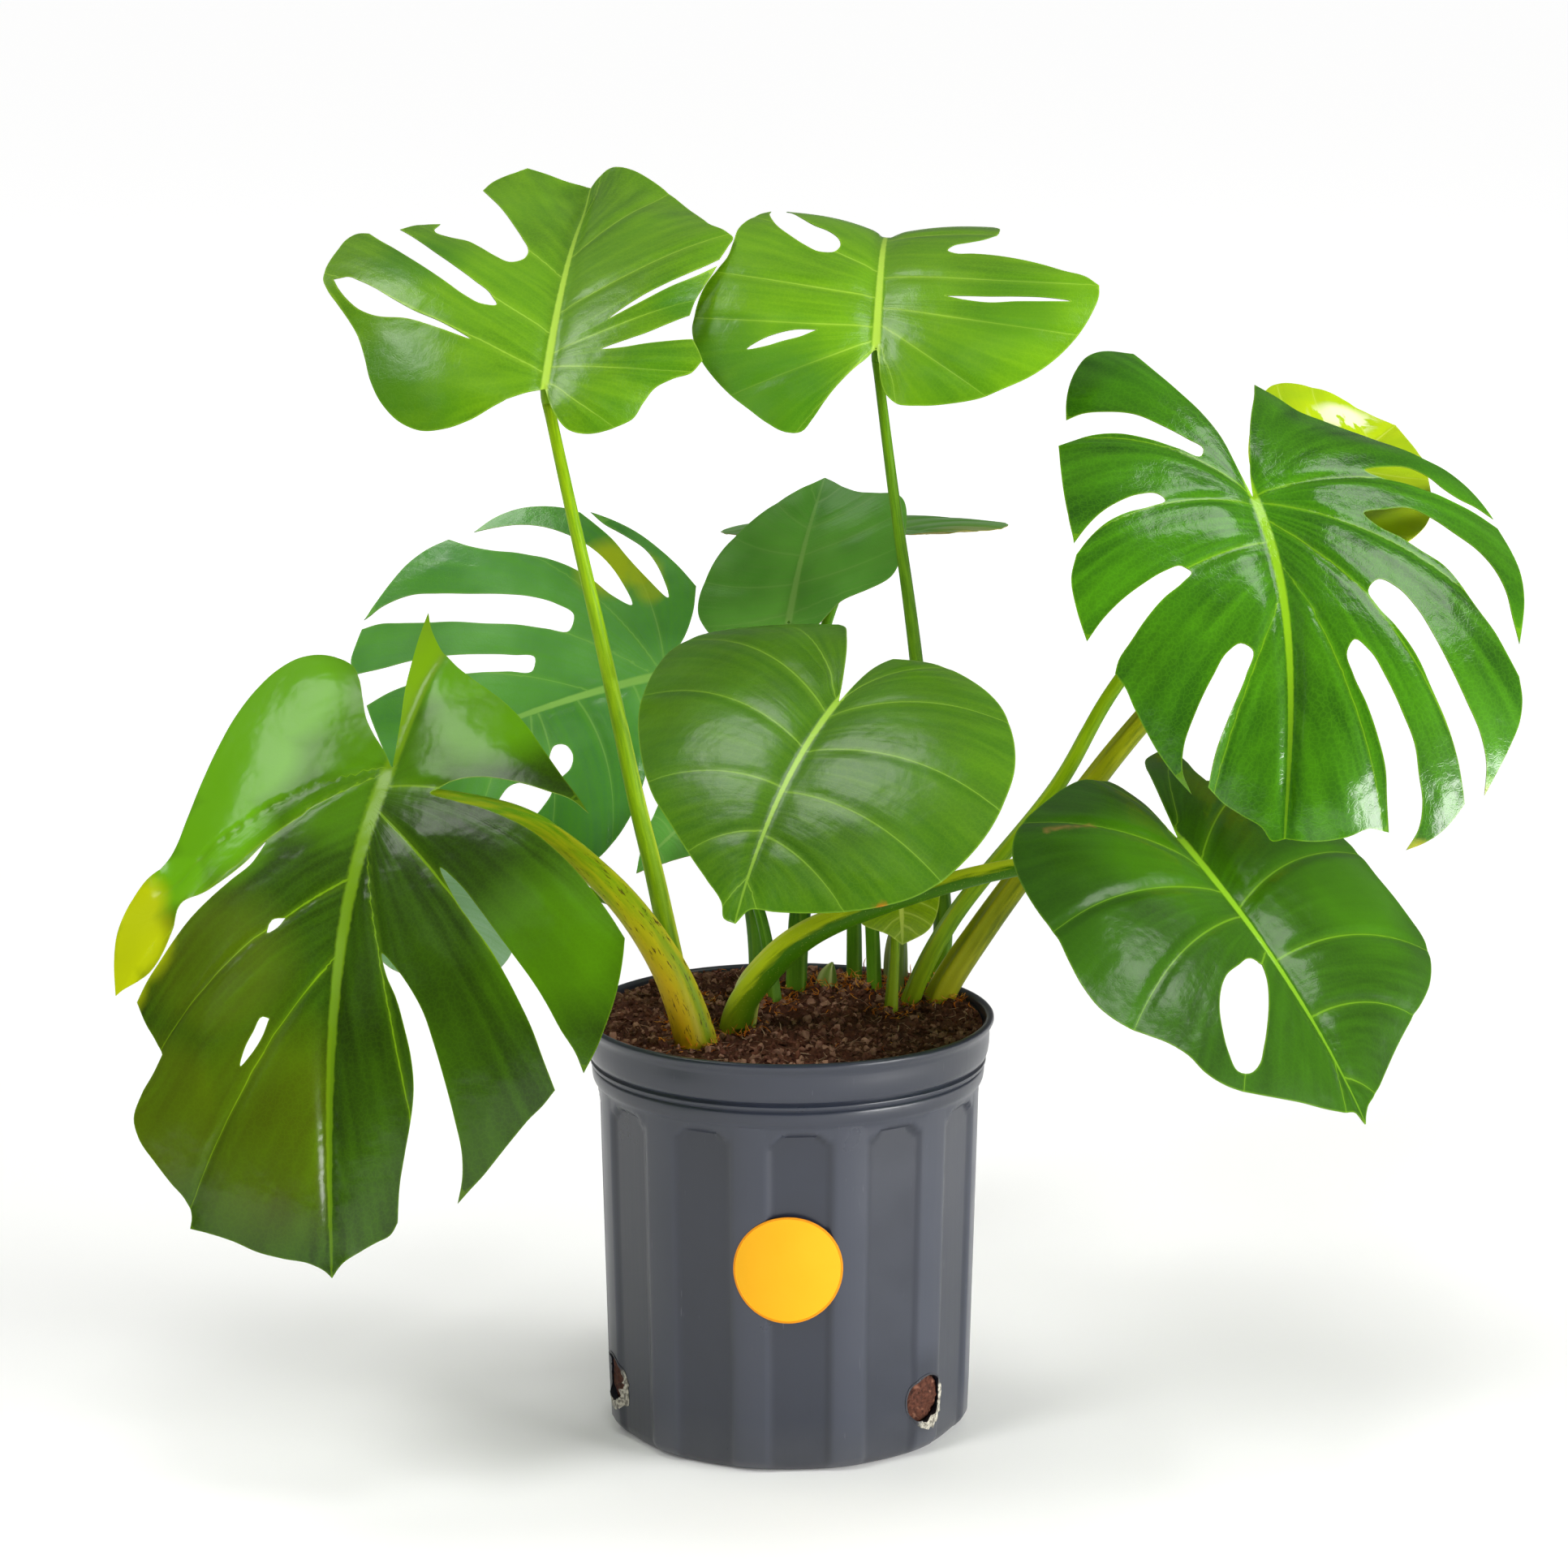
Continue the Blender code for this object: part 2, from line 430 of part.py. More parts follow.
def vein_start(leaf, side, q):
    """How far along the midrib the vein to the margin place q starts."""
    last = len(side["margin"]) - 1
    veins = side.get("veins", ())
    if veins:
        places = [0, *[vein[0] for vein in veins], last]
        shares = [0, *[vein[1] for vein in veins], RIB_END]
        return leaf["length"] * MM * np.interp(q, places, shares)
    basal = 1.5
    return leaf["length"] * MM * RIB_END * np.clip((q - basal) / (last - basal), 0, 1)


def vein_points(leaf, side, sign, q, r):
    """Flat places and points in space on the veins to q, at the shares r of their length."""
    rib, rib_points, rib_side, rib_ahead, rib_up = midrib(leaf)
    last = len(side["margin"]) - 1
    outward = np.array([sign, 1])
    end = smooth(q, side["margin"]) * MM * outward
    begin = vein_start(leaf, side, q)
    start = np.stack([np.zeros_like(begin), begin], -1)
    chord = end - start
    # Veins that leave the midrib sideways are bowed most
    sideways = np.abs(chord[..., :1]) / np.linalg.norm(chord, axis=-1)[..., None]
    across = np.stack([chord[..., 1], -chord[..., 0]], -1) * sign
    middle = start + chord / 2 + across * leaf["bow"] * sideways
    rise_notch, rise_tip, droop_notch, droop_tip = side["fold"]
    share = q / last
    flatten = np.clip(last - q, 0, 1)
    rise = (rise_notch + (rise_tip - rise_notch) * share) * flatten
    droop = (droop_notch + (droop_tip - droop_notch) * share) * flatten
    steps = 20
    place = read_along(begin, rib, rib_points)
    here = start
    for k in range(steps):
        t = (r * (k + 1) / steps)[..., None]
        there = (1 - t)**2 * start + 2 * t * (1 - t) * middle + t**2 * end
        move = there - here
        along = (there[..., 1] + here[..., 1]) / 2
        angle = np.radians(rise + (droop - rise) * (r * (k + 0.5) / steps)**1.2)[..., None]
        flat = (read_along(along, rib, rib_side) * move[..., :1]
                + read_along(along, rib, rib_ahead) * move[..., 1:])
        lift = read_along(along, rib, rib_up) * np.linalg.norm(move, axis=-1)[..., None]
        place = place + flat * np.cos(angle) + lift * np.sin(angle)
        here = there
    return here, place


def half_net(leaf, side, sign):
    """A net of veins over half a blade: flat places, points in space and triangles."""
    last = len(side["margin"]) - 1
    q, r = np.meshgrid(np.linspace(0, last, 6 * last + 1), np.linspace(0.02, 1.15, 20), indexing="ij")
    flat, space = vein_points(leaf, side, sign, q, r)
    rows, columns = q.shape
    triangles = []
    for i in range(rows - 1):
        for j in range(columns - 1):
            k = i * columns + j
            triangles += [(k, k + 1, k + columns), (k + 1, k + columns + 1, k + columns)]
    flat = flat.reshape(-1, 2)
    a, b, c = (flat[np.array(triangles)[:, n]] for n in range(3))
    area = np.abs(np.cross(b - a, c - a))
    triangles = [t for t, size in zip(triangles, area) if size > 1e-8]
    return flat, space.reshape(-1, 3), triangles


def lay(leaf, side, sign, places):
    """Points in space of flat places, in metres, on half a blade."""
    flat, space, triangles = half_net(leaf, side, sign)
    tree = BVHTree.FromPolygons([(x, y, 0) for x, y in flat], triangles, all_triangles=True)
    rib, rib_points, rib_side, rib_ahead, _ = midrib(leaf)
    corners = [Vector((x, y, 0)) for x, y in flat]
    laid = []
    for x, y in places:
        ahead = read_along(np.array(y), rib, rib_ahead)
        if x == 0 and y >= 0:
            beyond = max(0, y - rib[-1])
            laid.append(read_along(np.array(y), rib, rib_points) + ahead * beyond)
            continue
        near, _, index, _ = tree.find_nearest(Vector((x, y, 0)))
        a, b, c = triangles[index]
        point = barycentric_transform(near, corners[a], corners[b], corners[c],
                                      Vector(space[a]), Vector(space[b]), Vector(space[c]))
        rest = read_along(np.array(y), rib, rib_side) * (x - near.x) + ahead * (y - near.y)
        laid.append(np.array(point) + rest)
    return np.array(laid)


def trace(knots, step):
    """A smooth curve through flat knots, with a point about every step."""
    knots = np.asarray(knots, float)
    chords = np.linalg.norm(np.diff(knots, axis=0), axis=1)
    slopes = np.diff(knots, axis=0) / chords[:, None]
    tangents = np.concatenate([slopes[:1], slopes, slopes[-1:]])
    weights = np.concatenate([chords[:1], chords, chords[-1:]])[:, None]
    tangents = (tangents[1:] * weights[:-1] + tangents[:-1] * weights[1:]) / (weights[1:] + weights[:-1])
    traced = [tuple(knots[0])]
    for k, chord in enumerate(chords):
        cells = max(1, round(chord / step))
        for t in (np.arange(cells) + 1) / cells:
            point = ((2 * t**3 - 3 * t**2 + 1) * knots[k] + (t**3 - 2 * t**2 + t) * chord * tangents[k]
                     + (-2 * t**3 + 3 * t**2) * knots[k + 1] + (t**3 - t**2) * chord * tangents[k + 1])
            traced.append(tuple(point))
    return traced


def half_loops(leaf, side, step, spacing):
    """The outline of half a blade, closed along the midrib, and its holes; millimetres."""
    strokes = side.get("edge") or (side["margin"][:-1],)
    tip = leaf.get("tip", leaf["length"])
    outline = [(0, 0)]
    for k, stroke in enumerate(strokes):
        knots = [outline[-1], *stroke]
        if k == len(strokes) - 1:
            knots.append((0, tip))
        outline += trace(knots, step)[1:]
    cells = round(tip / spacing)
    outline += [(0, tip * (cells - n) / cells) for n in range(1, cells)]
    holes = [trace([*hole, hole[0]], step)[:-1] for hole in side.get("holes", ())]
    return [np.array(loop) for loop in (outline, *holes)]


def inside(points, loops):
    """Whether each flat point lies inside the outline and outside its holes."""
    found = np.zeros(len(points), bool)
    x, y = points[:, :1], points[:, 1:]
    for loop in loops:
        a, b = loop, np.roll(loop, -1, axis=0)
        rise = b[:, 1] - a[:, 1]
        at = a[:, 0] + (y - a[:, 1]) * (b[:, 0] - a[:, 0]) / np.where(rise == 0, 1e-9, rise)
        crosses = ((a[:, 1] > y) != (b[:, 1] > y)) & (x < at)
        found ^= crosses.sum(1) % 2 == 1
    return found


def edge_distance(points, loops):
    """Distance of each flat point from the nearest edge of the loops."""
    nearest = np.full(len(points), 1e9)
    for loop in loops:
        for a, b in zip(loop, np.roll(loop, -1, axis=0)):
            run = b - a
            t = np.clip((points - a) @ run / max(run @ run, 1e-12), 0, 1)
            nearest = np.minimum(nearest, np.linalg.norm(points - a - t[:, None] * run, axis=1))
    return nearest


def fill(loops, spacing):
    """Flat points and triangles that fill an outline around its holes."""
    low, high = loops[0].min(0), loops[0].max(0)
    rows = np.arange(low[1], high[1], spacing * math.sqrt(3) / 2)
    grid = [(x + spacing / 2 * (k % 2), y) for k, y in enumerate(rows)
            for x in np.arange(low[0] - spacing, high[0] + spacing, spacing)]
    grid = np.array(grid)
    grid = grid[inside(grid, loops)]
    grid = grid[edge_distance(grid, loops) > 0.6 * spacing]
    points, edges = [], []
    for loop in loops:
        first = len(points)
        points += [tuple(p) for p in loop]
        edges += [(first + k, first + (k + 1) % len(loop)) for k in range(len(loop))]
    points += [tuple(p) for p in grid]
    filled = delaunay_2d_cdt([Vector(p) for p in points], edges, [], 0, 1e-5)
    flat = np.array([tuple(p) for p in filled[0]])
    faces = np.array([tuple(f) for f in filled[2]])
    a, b, c = (flat[faces[:, n]] for n in range(3))
    turn = np.cross(b - a, c - a)
    kept = inside((a + b + c) / 3, loops) & (np.abs(turn) > 1e-6)
    faces = np.where((turn > 0)[:, None], faces, faces[:, ::-1])[kept]
    return flat, faces


# Blades are filled with triangles of about BLADE_CELL, with edge points about EDGE_STEP apart
BLADE_CELL = 17
EDGE_STEP = 16


def blade_surface(leaf):
    """Points and triangles of a blade's middle surface; its halves share the midrib."""
    points, faces = [], []
    for key, sign in (("right", 1), ("left", -1)):
        side = leaf[key]
        flat, half = fill(half_loops(leaf, side, EDGE_STEP, BLADE_CELL), BLADE_CELL)
        used = np.unique(half)
        flat[np.abs(flat[:, 0]) < 1e-4, 0] = 0
        laid = lay(leaf, side, sign, flat[used] * np.array([sign, 1]) * MM)
        number = np.zeros(len(flat), int)
        number[used] = np.arange(len(used)) + len(points)
        points += list(laid)
        half = number[half]
        faces += [tuple(f) if sign > 0 else tuple(f[::-1]) for f in half]
    return points, faces


def make_blade(name, leaf, material):
    """A leaf blade of even thickness, both faces split alike."""
    points, faces = blade_surface(leaf)
    blade = make_object(name, points, faces, material, np.array(leaf["at"]) * MM)
    shape = bmesh.new()
    shape.from_mesh(blade.data)
    bmesh.ops.remove_doubles(shape, verts=shape.verts, dist=0.02 * MM)
    shape.to_mesh(blade.data)
    shape.free()
    thick = blade.modifiers.new("Thickness", "SOLIDIFY")
    thick.thickness = BLADE_THICKNESS
    thick.offset = 0
    return blade


# Stems


def sweep(name, path, radii, material, sides=STEM_SIDES):
    """A closed round tube along a path, each ring square to the path."""
    path = np.asarray(path, float)
    ahead = np.gradient(path, axis=0)
    ahead /= np.linalg.norm(ahead, axis=1)[:, None]
    side = np.cross(ahead[0], (0, 1, 0))
    points = []
    for place, forward, radius in zip(path, ahead, radii):
        side = side - forward * np.dot(side, forward)
        side /= np.linalg.norm(side)
        third = np.cross(forward, side)
        for k in range(sides):
            turn = 2 * math.pi * k / sides
            points.append(place + radius * (side * math.cos(turn) + third * math.sin(turn)))
    rings = len(path)
    faces = [tuple(reversed(range(sides)))]
    faces.append(tuple((rings - 1) * sides + k for k in range(sides)))
    for i in range(rings - 1):
        for k in range(sides):
            n = (k + 1) % sides
            faces.append((i * sides + k, i * sides + n, (i + 1) * sides + n, (i + 1) * sides + k))
    return make_object(name, points, faces, material, path[0])


def stem_path(stem, leaf):
    """The stem's centre line, upright in the soil and square to the blade at its top."""
    _, rib_points, _, rib_ahead, rib_up = midrib(leaf)
    x, y, _ = stem["base"]
    soil = SOIL_TOP / MM
    seat = (np.array(leaf["at"]) * MM + rib_ahead[0] * stem["top"] * MM
            - rib_up[0] * (BLADE_THICKNESS / 2 + CLEARANCE + 0.1 * MM))
    approach = seat - rib_up[0] * 14 * MM
    knots = [(x, y, soil - 29), (x, y, soil + 8), *stem["way"]]
    knots = np.concatenate([np.array(knots) * MM, [approach, seat]])
    places = np.linspace(1, len(knots) - 2, 5 * (len(knots) - 3) // 2 + 2)
    return np.concatenate([knots[:1], smooth(places, knots), (approach + (seat - approach) * 0.6)[None], seat[None]])


def make_stem(key, stem, material):
    """A leaf's stem, thick at the soil and slim below the blade."""
    path = stem_path(stem, LEAVES["leaf_" + key])
    length = np.concatenate([[0], np.cumsum(np.linalg.norm(np.diff(path, axis=0), axis=1))])
    share = np.clip((length - 0.037) / (length[-1] - 0.037), 0, 1)
    radii = (stem["top"] + (stem["base"][2] - stem["top"]) * (1 - share)**1.3) * MM
    return sweep("stem_" + key, path, radii, material)


def make_sheath(name, sheath, material):
    """A stub of leaf sheath that tapers to a blunt top."""
    x, y, radius, height, lean = sheath
    soil = SOIL_TOP / MM
    shares = np.linspace(0, 1, 5)
    path = [(x, y, soil - 29), *[(x + lean * s * s, y, soil + 8 + (height - 8) * s) for s in shares]]
    radii = [radius, *[radius * (1 - 0.75 * s**2.5) for s in shares]]
    return sweep(name, np.array(path) * MM, np.array(radii) * MM, material)


# Pot


def ring_faces(rings, count):
    """Quads between closed rings of points."""
    faces = []
    for i in range(rings - 1):
        for k in range(count):
            n = (k + 1) % count
            faces.append((i * count + k, i * count + n, (i + 1) * count + n, (i + 1) * count + k))
    return faces


# One flute is a broad raised rib and a broad recess, with sloping sides
FLUTE_STEPS = (0.0, 0.10, 0.40, 0.50, 0.75)
FLUTE_HEIGHTS = (0, 1, 1, 0, 0)
POT_TURNS = [FIRST_FLUTE / 360 + (k + step) / FLUTES for k in range(FLUTES) for step in FLUTE_STEPS]


def wall_radius(z):
    """Radius of the fluted wall's grooves at a height."""
    return WALL_RADIUS_BOTTOM + (WALL_RADIUS_TOP - WALL_RADIUS_BOTTOM) * z / POT_HEIGHT


def pot_profile():
    """(radius, height, share of the flute's rise) up the outside, over the lip and down inside."""
    top = POT_HEIGHT
    band = top - LIP_BAND
    wall_top = band - SECOND_BAND - 3 * MM
    outside = [
        (FOOT_RADIUS, 0, 0),
        (wall_radius(0) - 2 * MM, FOOT_ROUND * 0.35, 0.3),
        (wall_radius(0), FOOT_ROUND, 1),
        (wall_radius(wall_top), wall_top - 4 * MM, 1),
        (wall_radius(wall_top) + 1.5 * MM, wall_top, 0),
        (WALL_RADIUS_TOP + 4.5 * MM, wall_top + 4 * MM, 0),
        (WALL_RADIUS_TOP + 5.5 * MM, band - 3 * MM, 0),
        (LIP_RADIUS - 5 * MM, band + 2 * MM, 0),
        (LIP_RADIUS - 3.5 * MM, top - 11 * MM, 0),
        (LIP_RADIUS, top - 2 * MM, 0),
        (LIP_RADIUS - 2 * MM, top, 0),
    ]
    inside = [
        (LIP_RADIUS - 5.5 * MM, top, 0),
        (soil_radius(top - 12 * MM) + 0.7 * MM, top - 12 * MM, 0),
        (soil_radius(POT_FLOOR) + 0.7 * MM, POT_FLOOR, 0),
    ]
    return outside + inside


def soil_radius(z):
    """Radius of the soil, which lies against the pot's inner wall."""
    return wall_radius(z) - POT_WALL - CLEARANCE


def make_pot(material, cutter_material):
    """The pot's shell with its floor and three drain holes near the foot."""
    count = len(POT_TURNS)
    points = []
    profile = pot_profile()
    for radius, z, share in profile:
        for k, turn in enumerate(POT_TURNS):
            r = radius + FLUTE_RISE * share * FLUTE_HEIGHTS[k % len(FLUTE_HEIGHTS)]
            angle = 2 * math.pi * turn
            points.append((r * math.sin(angle), -r * math.cos(angle), z))
    faces = ring_faces(len(profile), count)
    faces.append(tuple(reversed(range(count))))
    faces.append(tuple((len(profile) - 1) * count + k for k in range(count)))
    pot = make_object("pot", points, faces, material)
    for number, angle in enumerate(DRAIN_ANGLES):
        turn = math.radians(angle)
        outward = Vector((math.sin(turn), -math.cos(turn), 0))
        middle = outward * wall_radius(DRAIN_HEIGHT) + Vector((0, 0, DRAIN_HEIGHT))
        bpy.ops.mesh.primitive_cylinder_add(vertices=20, radius=DRAIN_RADIUS, depth=20 * MM, location=middle)
        cutter = bpy.context.object
        cutter.name = "drain_cutter_%d" % (number + 1)
        cutter.rotation_euler = outward.to_track_quat("Z", "Y").to_euler()
        hide_cutter(cutter)
        cut_with(pot, cutter)
    return pot


def hide_cutter(cutter):
    """Mark an object as a guide that is no part of the model."""
    cutter.hide_render = True
    cutter.display_type = "WIRE"


def cut_with(target, cutter):
    """Take the cutter's shape out of the target."""
    cut = target.modifiers.new("Cut " + cutter.name, "BOOLEAN")
    cut.operation = "DIFFERENCE"
    cut.object = cutter


# Soil


def soil_height(x, y):
    """Loose soil: low swells and crumbs, level where it meets the pot."""
    swell = math.sin(31 * x + 1.3) * math.cos(27 * y - 0.4)
    crumbs = math.sin(150 * x + 2.1 * math.sin(90 * y)) * math.sin(170 * y + 1.7 * math.sin(80 * x))
    return SOIL_TOP + SOIL_ROUGHNESS * (0.5 * swell + 0.5 * crumbs)


def make_soil(material):
    """The soil that fills the pot, with a plain hole for each stem."""
    count = 36
    rings = [(soil_radius(POT_FLOOR + CLEARANCE), POT_FLOOR + CLEARANCE), (soil_radius(SOIL_TOP), SOIL_TOP)]
    top_radii = [0.95, 0.82, 0.68, 0.54, 0.38, 0.20]
    points = []
    for radius, z in rings:
        for k in range(count):
            angle = 2 * math.pi * k / count
            points.append((radius * math.sin(angle), -radius * math.cos(angle), z))
    for share in top_radii:
        for k in range(count):
            angle = 2 * math.pi * k / count
            x = soil_radius(SOIL_TOP) * share * math.sin(angle)
            y = -soil_radius(SOIL_TOP) * share * math.cos(angle)
            points.append((x, y, soil_height(x, y)))
    faces = ring_faces(len(rings) + len(top_radii), count)
    faces.append(tuple(reversed(range(count))))
    centre = len(points)
    points.append((0, 0, soil_height(0, 0)))
    first = centre - count
    faces += [(first + k, first + (k + 1) % count, centre) for k in range(count)]
    soil = make_object("soil", points, faces, material)
    bases = [stem["base"] for stem in STEMS.values()] + [sheath[:3] for sheath in SHEATHS.values()]
    sides = 12
    for number, (x, y, radius) in enumerate(bases):
        hole = (radius * MM + 2 * CLEARANCE) / math.cos(math.pi / sides)
        bpy.ops.mesh.primitive_cylinder_add(
            vertices=sides, radius=hole, depth=2 * STEM_DEPTH, location=(x * MM, y * MM, SOIL_TOP))
        cutter = bpy.context.object
        cutter.name = "hole_cutter_%d" % (number + 1)
        hide_cutter(cutter)
        cut_with(soil, cutter)
    return soil


# Label


def make_label(material):
    """A thin round sticker laid over the flutes on the pot's front."""
    rings, spokes = 3, 32
    crest = FLUTE_RISE + 2 * CLEARANCE
    flat = [(0.0, 0.0)]
    for i in range(1, rings + 1):
        for k in range(spokes):
            angle = 2 * math.pi * k / spokes
            flat.append((LABEL_RADIUS * i / rings * math.cos(angle), LABEL_RADIUS * i / rings * math.sin(angle)))
    points = []
    for across, up in flat:
        z = LABEL_HEIGHT + up
        radius = wall_radius(z) + crest
        points.append((radius * math.sin(across / radius), -radius * math.cos(across / radius), z))
    faces = [(0, 1 + k, 1 + (k + 1) % spokes) for k in range(spokes)]
    for i in range(rings - 1):
        for k in range(spokes):
            a, b = 1 + i * spokes + k, 1 + i * spokes + (k + 1) % spokes
            faces.append((a, a + spokes, b + spokes, b))
    label = make_object("label", points, faces, material)
    thick = label.modifiers.new("Thickness", "SOLIDIFY")
    thick.thickness = LABEL_THICKNESS
    thick.offset = 1
    return label


pot_material = make_material("Pot plastic", (0.045, 0.047, 0.055), 0.42)
soil_material = make_material("Potting soil", (0.045, 0.022, 0.015), 0.95)
label_material = make_material("Label paper", (0.95, 0.47, 0.01), 0.5)
leaf_material = make_material("Leaf green", (0.05, 0.17, 0.01), 0.35)
bright_material = make_material("Young leaf green", (0.12, 0.36, 0.02), 0.35)
stem_material = make_material("Stem green", (0.12, 0.22, 0.02), 0.45)
young_material = make_material("Stem yellow green", (0.30, 0.34, 0.03), 0.45)

BRIGHT = ("leaf_upper_left", "leaf_upper_middle", "leaf_front", "leaf_right_young", "leaf_small")

make_pot(pot_material, soil_material)
make_soil(soil_material)
make_label(label_material)
for leaf_name, leaf_values in LEAVES.items():
    make_blade(leaf_name, leaf_values, bright_material if leaf_name in BRIGHT else leaf_material)
for stem_name, stem_values in STEMS.items():
    make_stem(stem_name, stem_values, young_material if stem_name in YOUNG else stem_material)
for sheath_name, sheath_values in SHEATHS.items():
    make_sheath(sheath_name, sheath_values, stem_material)
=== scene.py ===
# Looks of a potted swiss cheese plant: thirteen leaves on their stems, a ribbed
# nursery pot, its soil and a plain round label. The tables are in millimetres
# and degrees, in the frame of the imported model.
import math

import bmesh
import bpy
import numpy as np
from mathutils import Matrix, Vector, noise
from mathutils.bvhtree import BVHTree
from mathutils.geometry import delaunay_2d_cdt
from mathutils.kdtree import KDTree


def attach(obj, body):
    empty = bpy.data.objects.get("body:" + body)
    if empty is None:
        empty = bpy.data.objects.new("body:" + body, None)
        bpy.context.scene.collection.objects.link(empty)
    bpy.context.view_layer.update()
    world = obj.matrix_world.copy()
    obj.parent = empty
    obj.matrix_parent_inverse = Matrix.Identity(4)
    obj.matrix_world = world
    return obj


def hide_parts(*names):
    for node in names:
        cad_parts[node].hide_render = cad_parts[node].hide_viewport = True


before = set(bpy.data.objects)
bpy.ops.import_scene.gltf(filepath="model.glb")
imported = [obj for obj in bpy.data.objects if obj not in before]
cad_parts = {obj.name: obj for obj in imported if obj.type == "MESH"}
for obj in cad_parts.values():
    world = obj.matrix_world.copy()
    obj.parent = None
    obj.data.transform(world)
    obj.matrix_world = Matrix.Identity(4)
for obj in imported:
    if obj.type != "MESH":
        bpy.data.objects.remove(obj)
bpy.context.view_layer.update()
mm = 0.001
print("frame:", len(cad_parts), "nodes")


def clearSelection():
    if bpy.context.object and bpy.context.object.mode != "OBJECT":
        bpy.ops.object.mode_set(mode="OBJECT")
    bpy.ops.object.select_all(action="DESELECT")


def hexColour(text):
    values = [int(text[k:k + 2], 16) / 255 for k in (1, 3, 5)]
    return tuple(v / 12.92 if v <= 0.04045 else ((v + 0.055) / 1.055)**2.4 for v in values) + (1,)


def giveInput(material, target, value):  # a value, an output, or a node for its first output in use
    if isinstance(value, bpy.types.Node):
        value = next(output for output in value.outputs if output.enabled)
    if isinstance(value, bpy.types.NodeSocket):
        material.node_tree.links.new(value, target)
    else:
        target.default_value = value


def addNode(material, kind, inputs=None, **settings):
    node = material.node_tree.nodes.new("ShaderNode" + kind)
    for key, value in settings.items():
        setattr(node, key, value)
    for key, value in (inputs or {}).items():
        giveInput(material, node.inputs[key], value)
    return node


def setShader(material, **inputs):
    for key, value in inputs.items():
        giveInput(material, material.node_tree.nodes["Principled BSDF"].inputs[key.replace("_", " ")],
                  value)


def newMaterial(name, **inputs):
    material = bpy.data.materials.new(name)
    material.use_nodes = True
    setShader(material, **inputs)
    return material


def selectOnly(piece):
    clearSelection()
    piece.select_set(True)
    bpy.context.view_layer.objects.active = piece


def newPiece(name, points, faces, materials, smooth=True, **values):  # values: one number for each point
    mesh = bpy.data.meshes.new(name)
    mesh.from_pydata(points.tolist(), [], faces)
    for key, numbers in values.items():
        attribute = mesh.attributes.new(key, "FLOAT", "POINT")
        attribute.data.foreach_set("value", np.ravel(numbers).astype(np.float32))
    mesh.update()
    if smooth:
        mesh.shade_smooth()
    for material in materials:
        mesh.materials.append(material)
    piece = bpy.data.objects.new(name, mesh)
    bpy.context.scene.collection.objects.link(piece)
    return piece


def finishPiece(piece, slot, *nodes):
    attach(piece, "root")
    if nodes:
        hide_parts(*nodes)


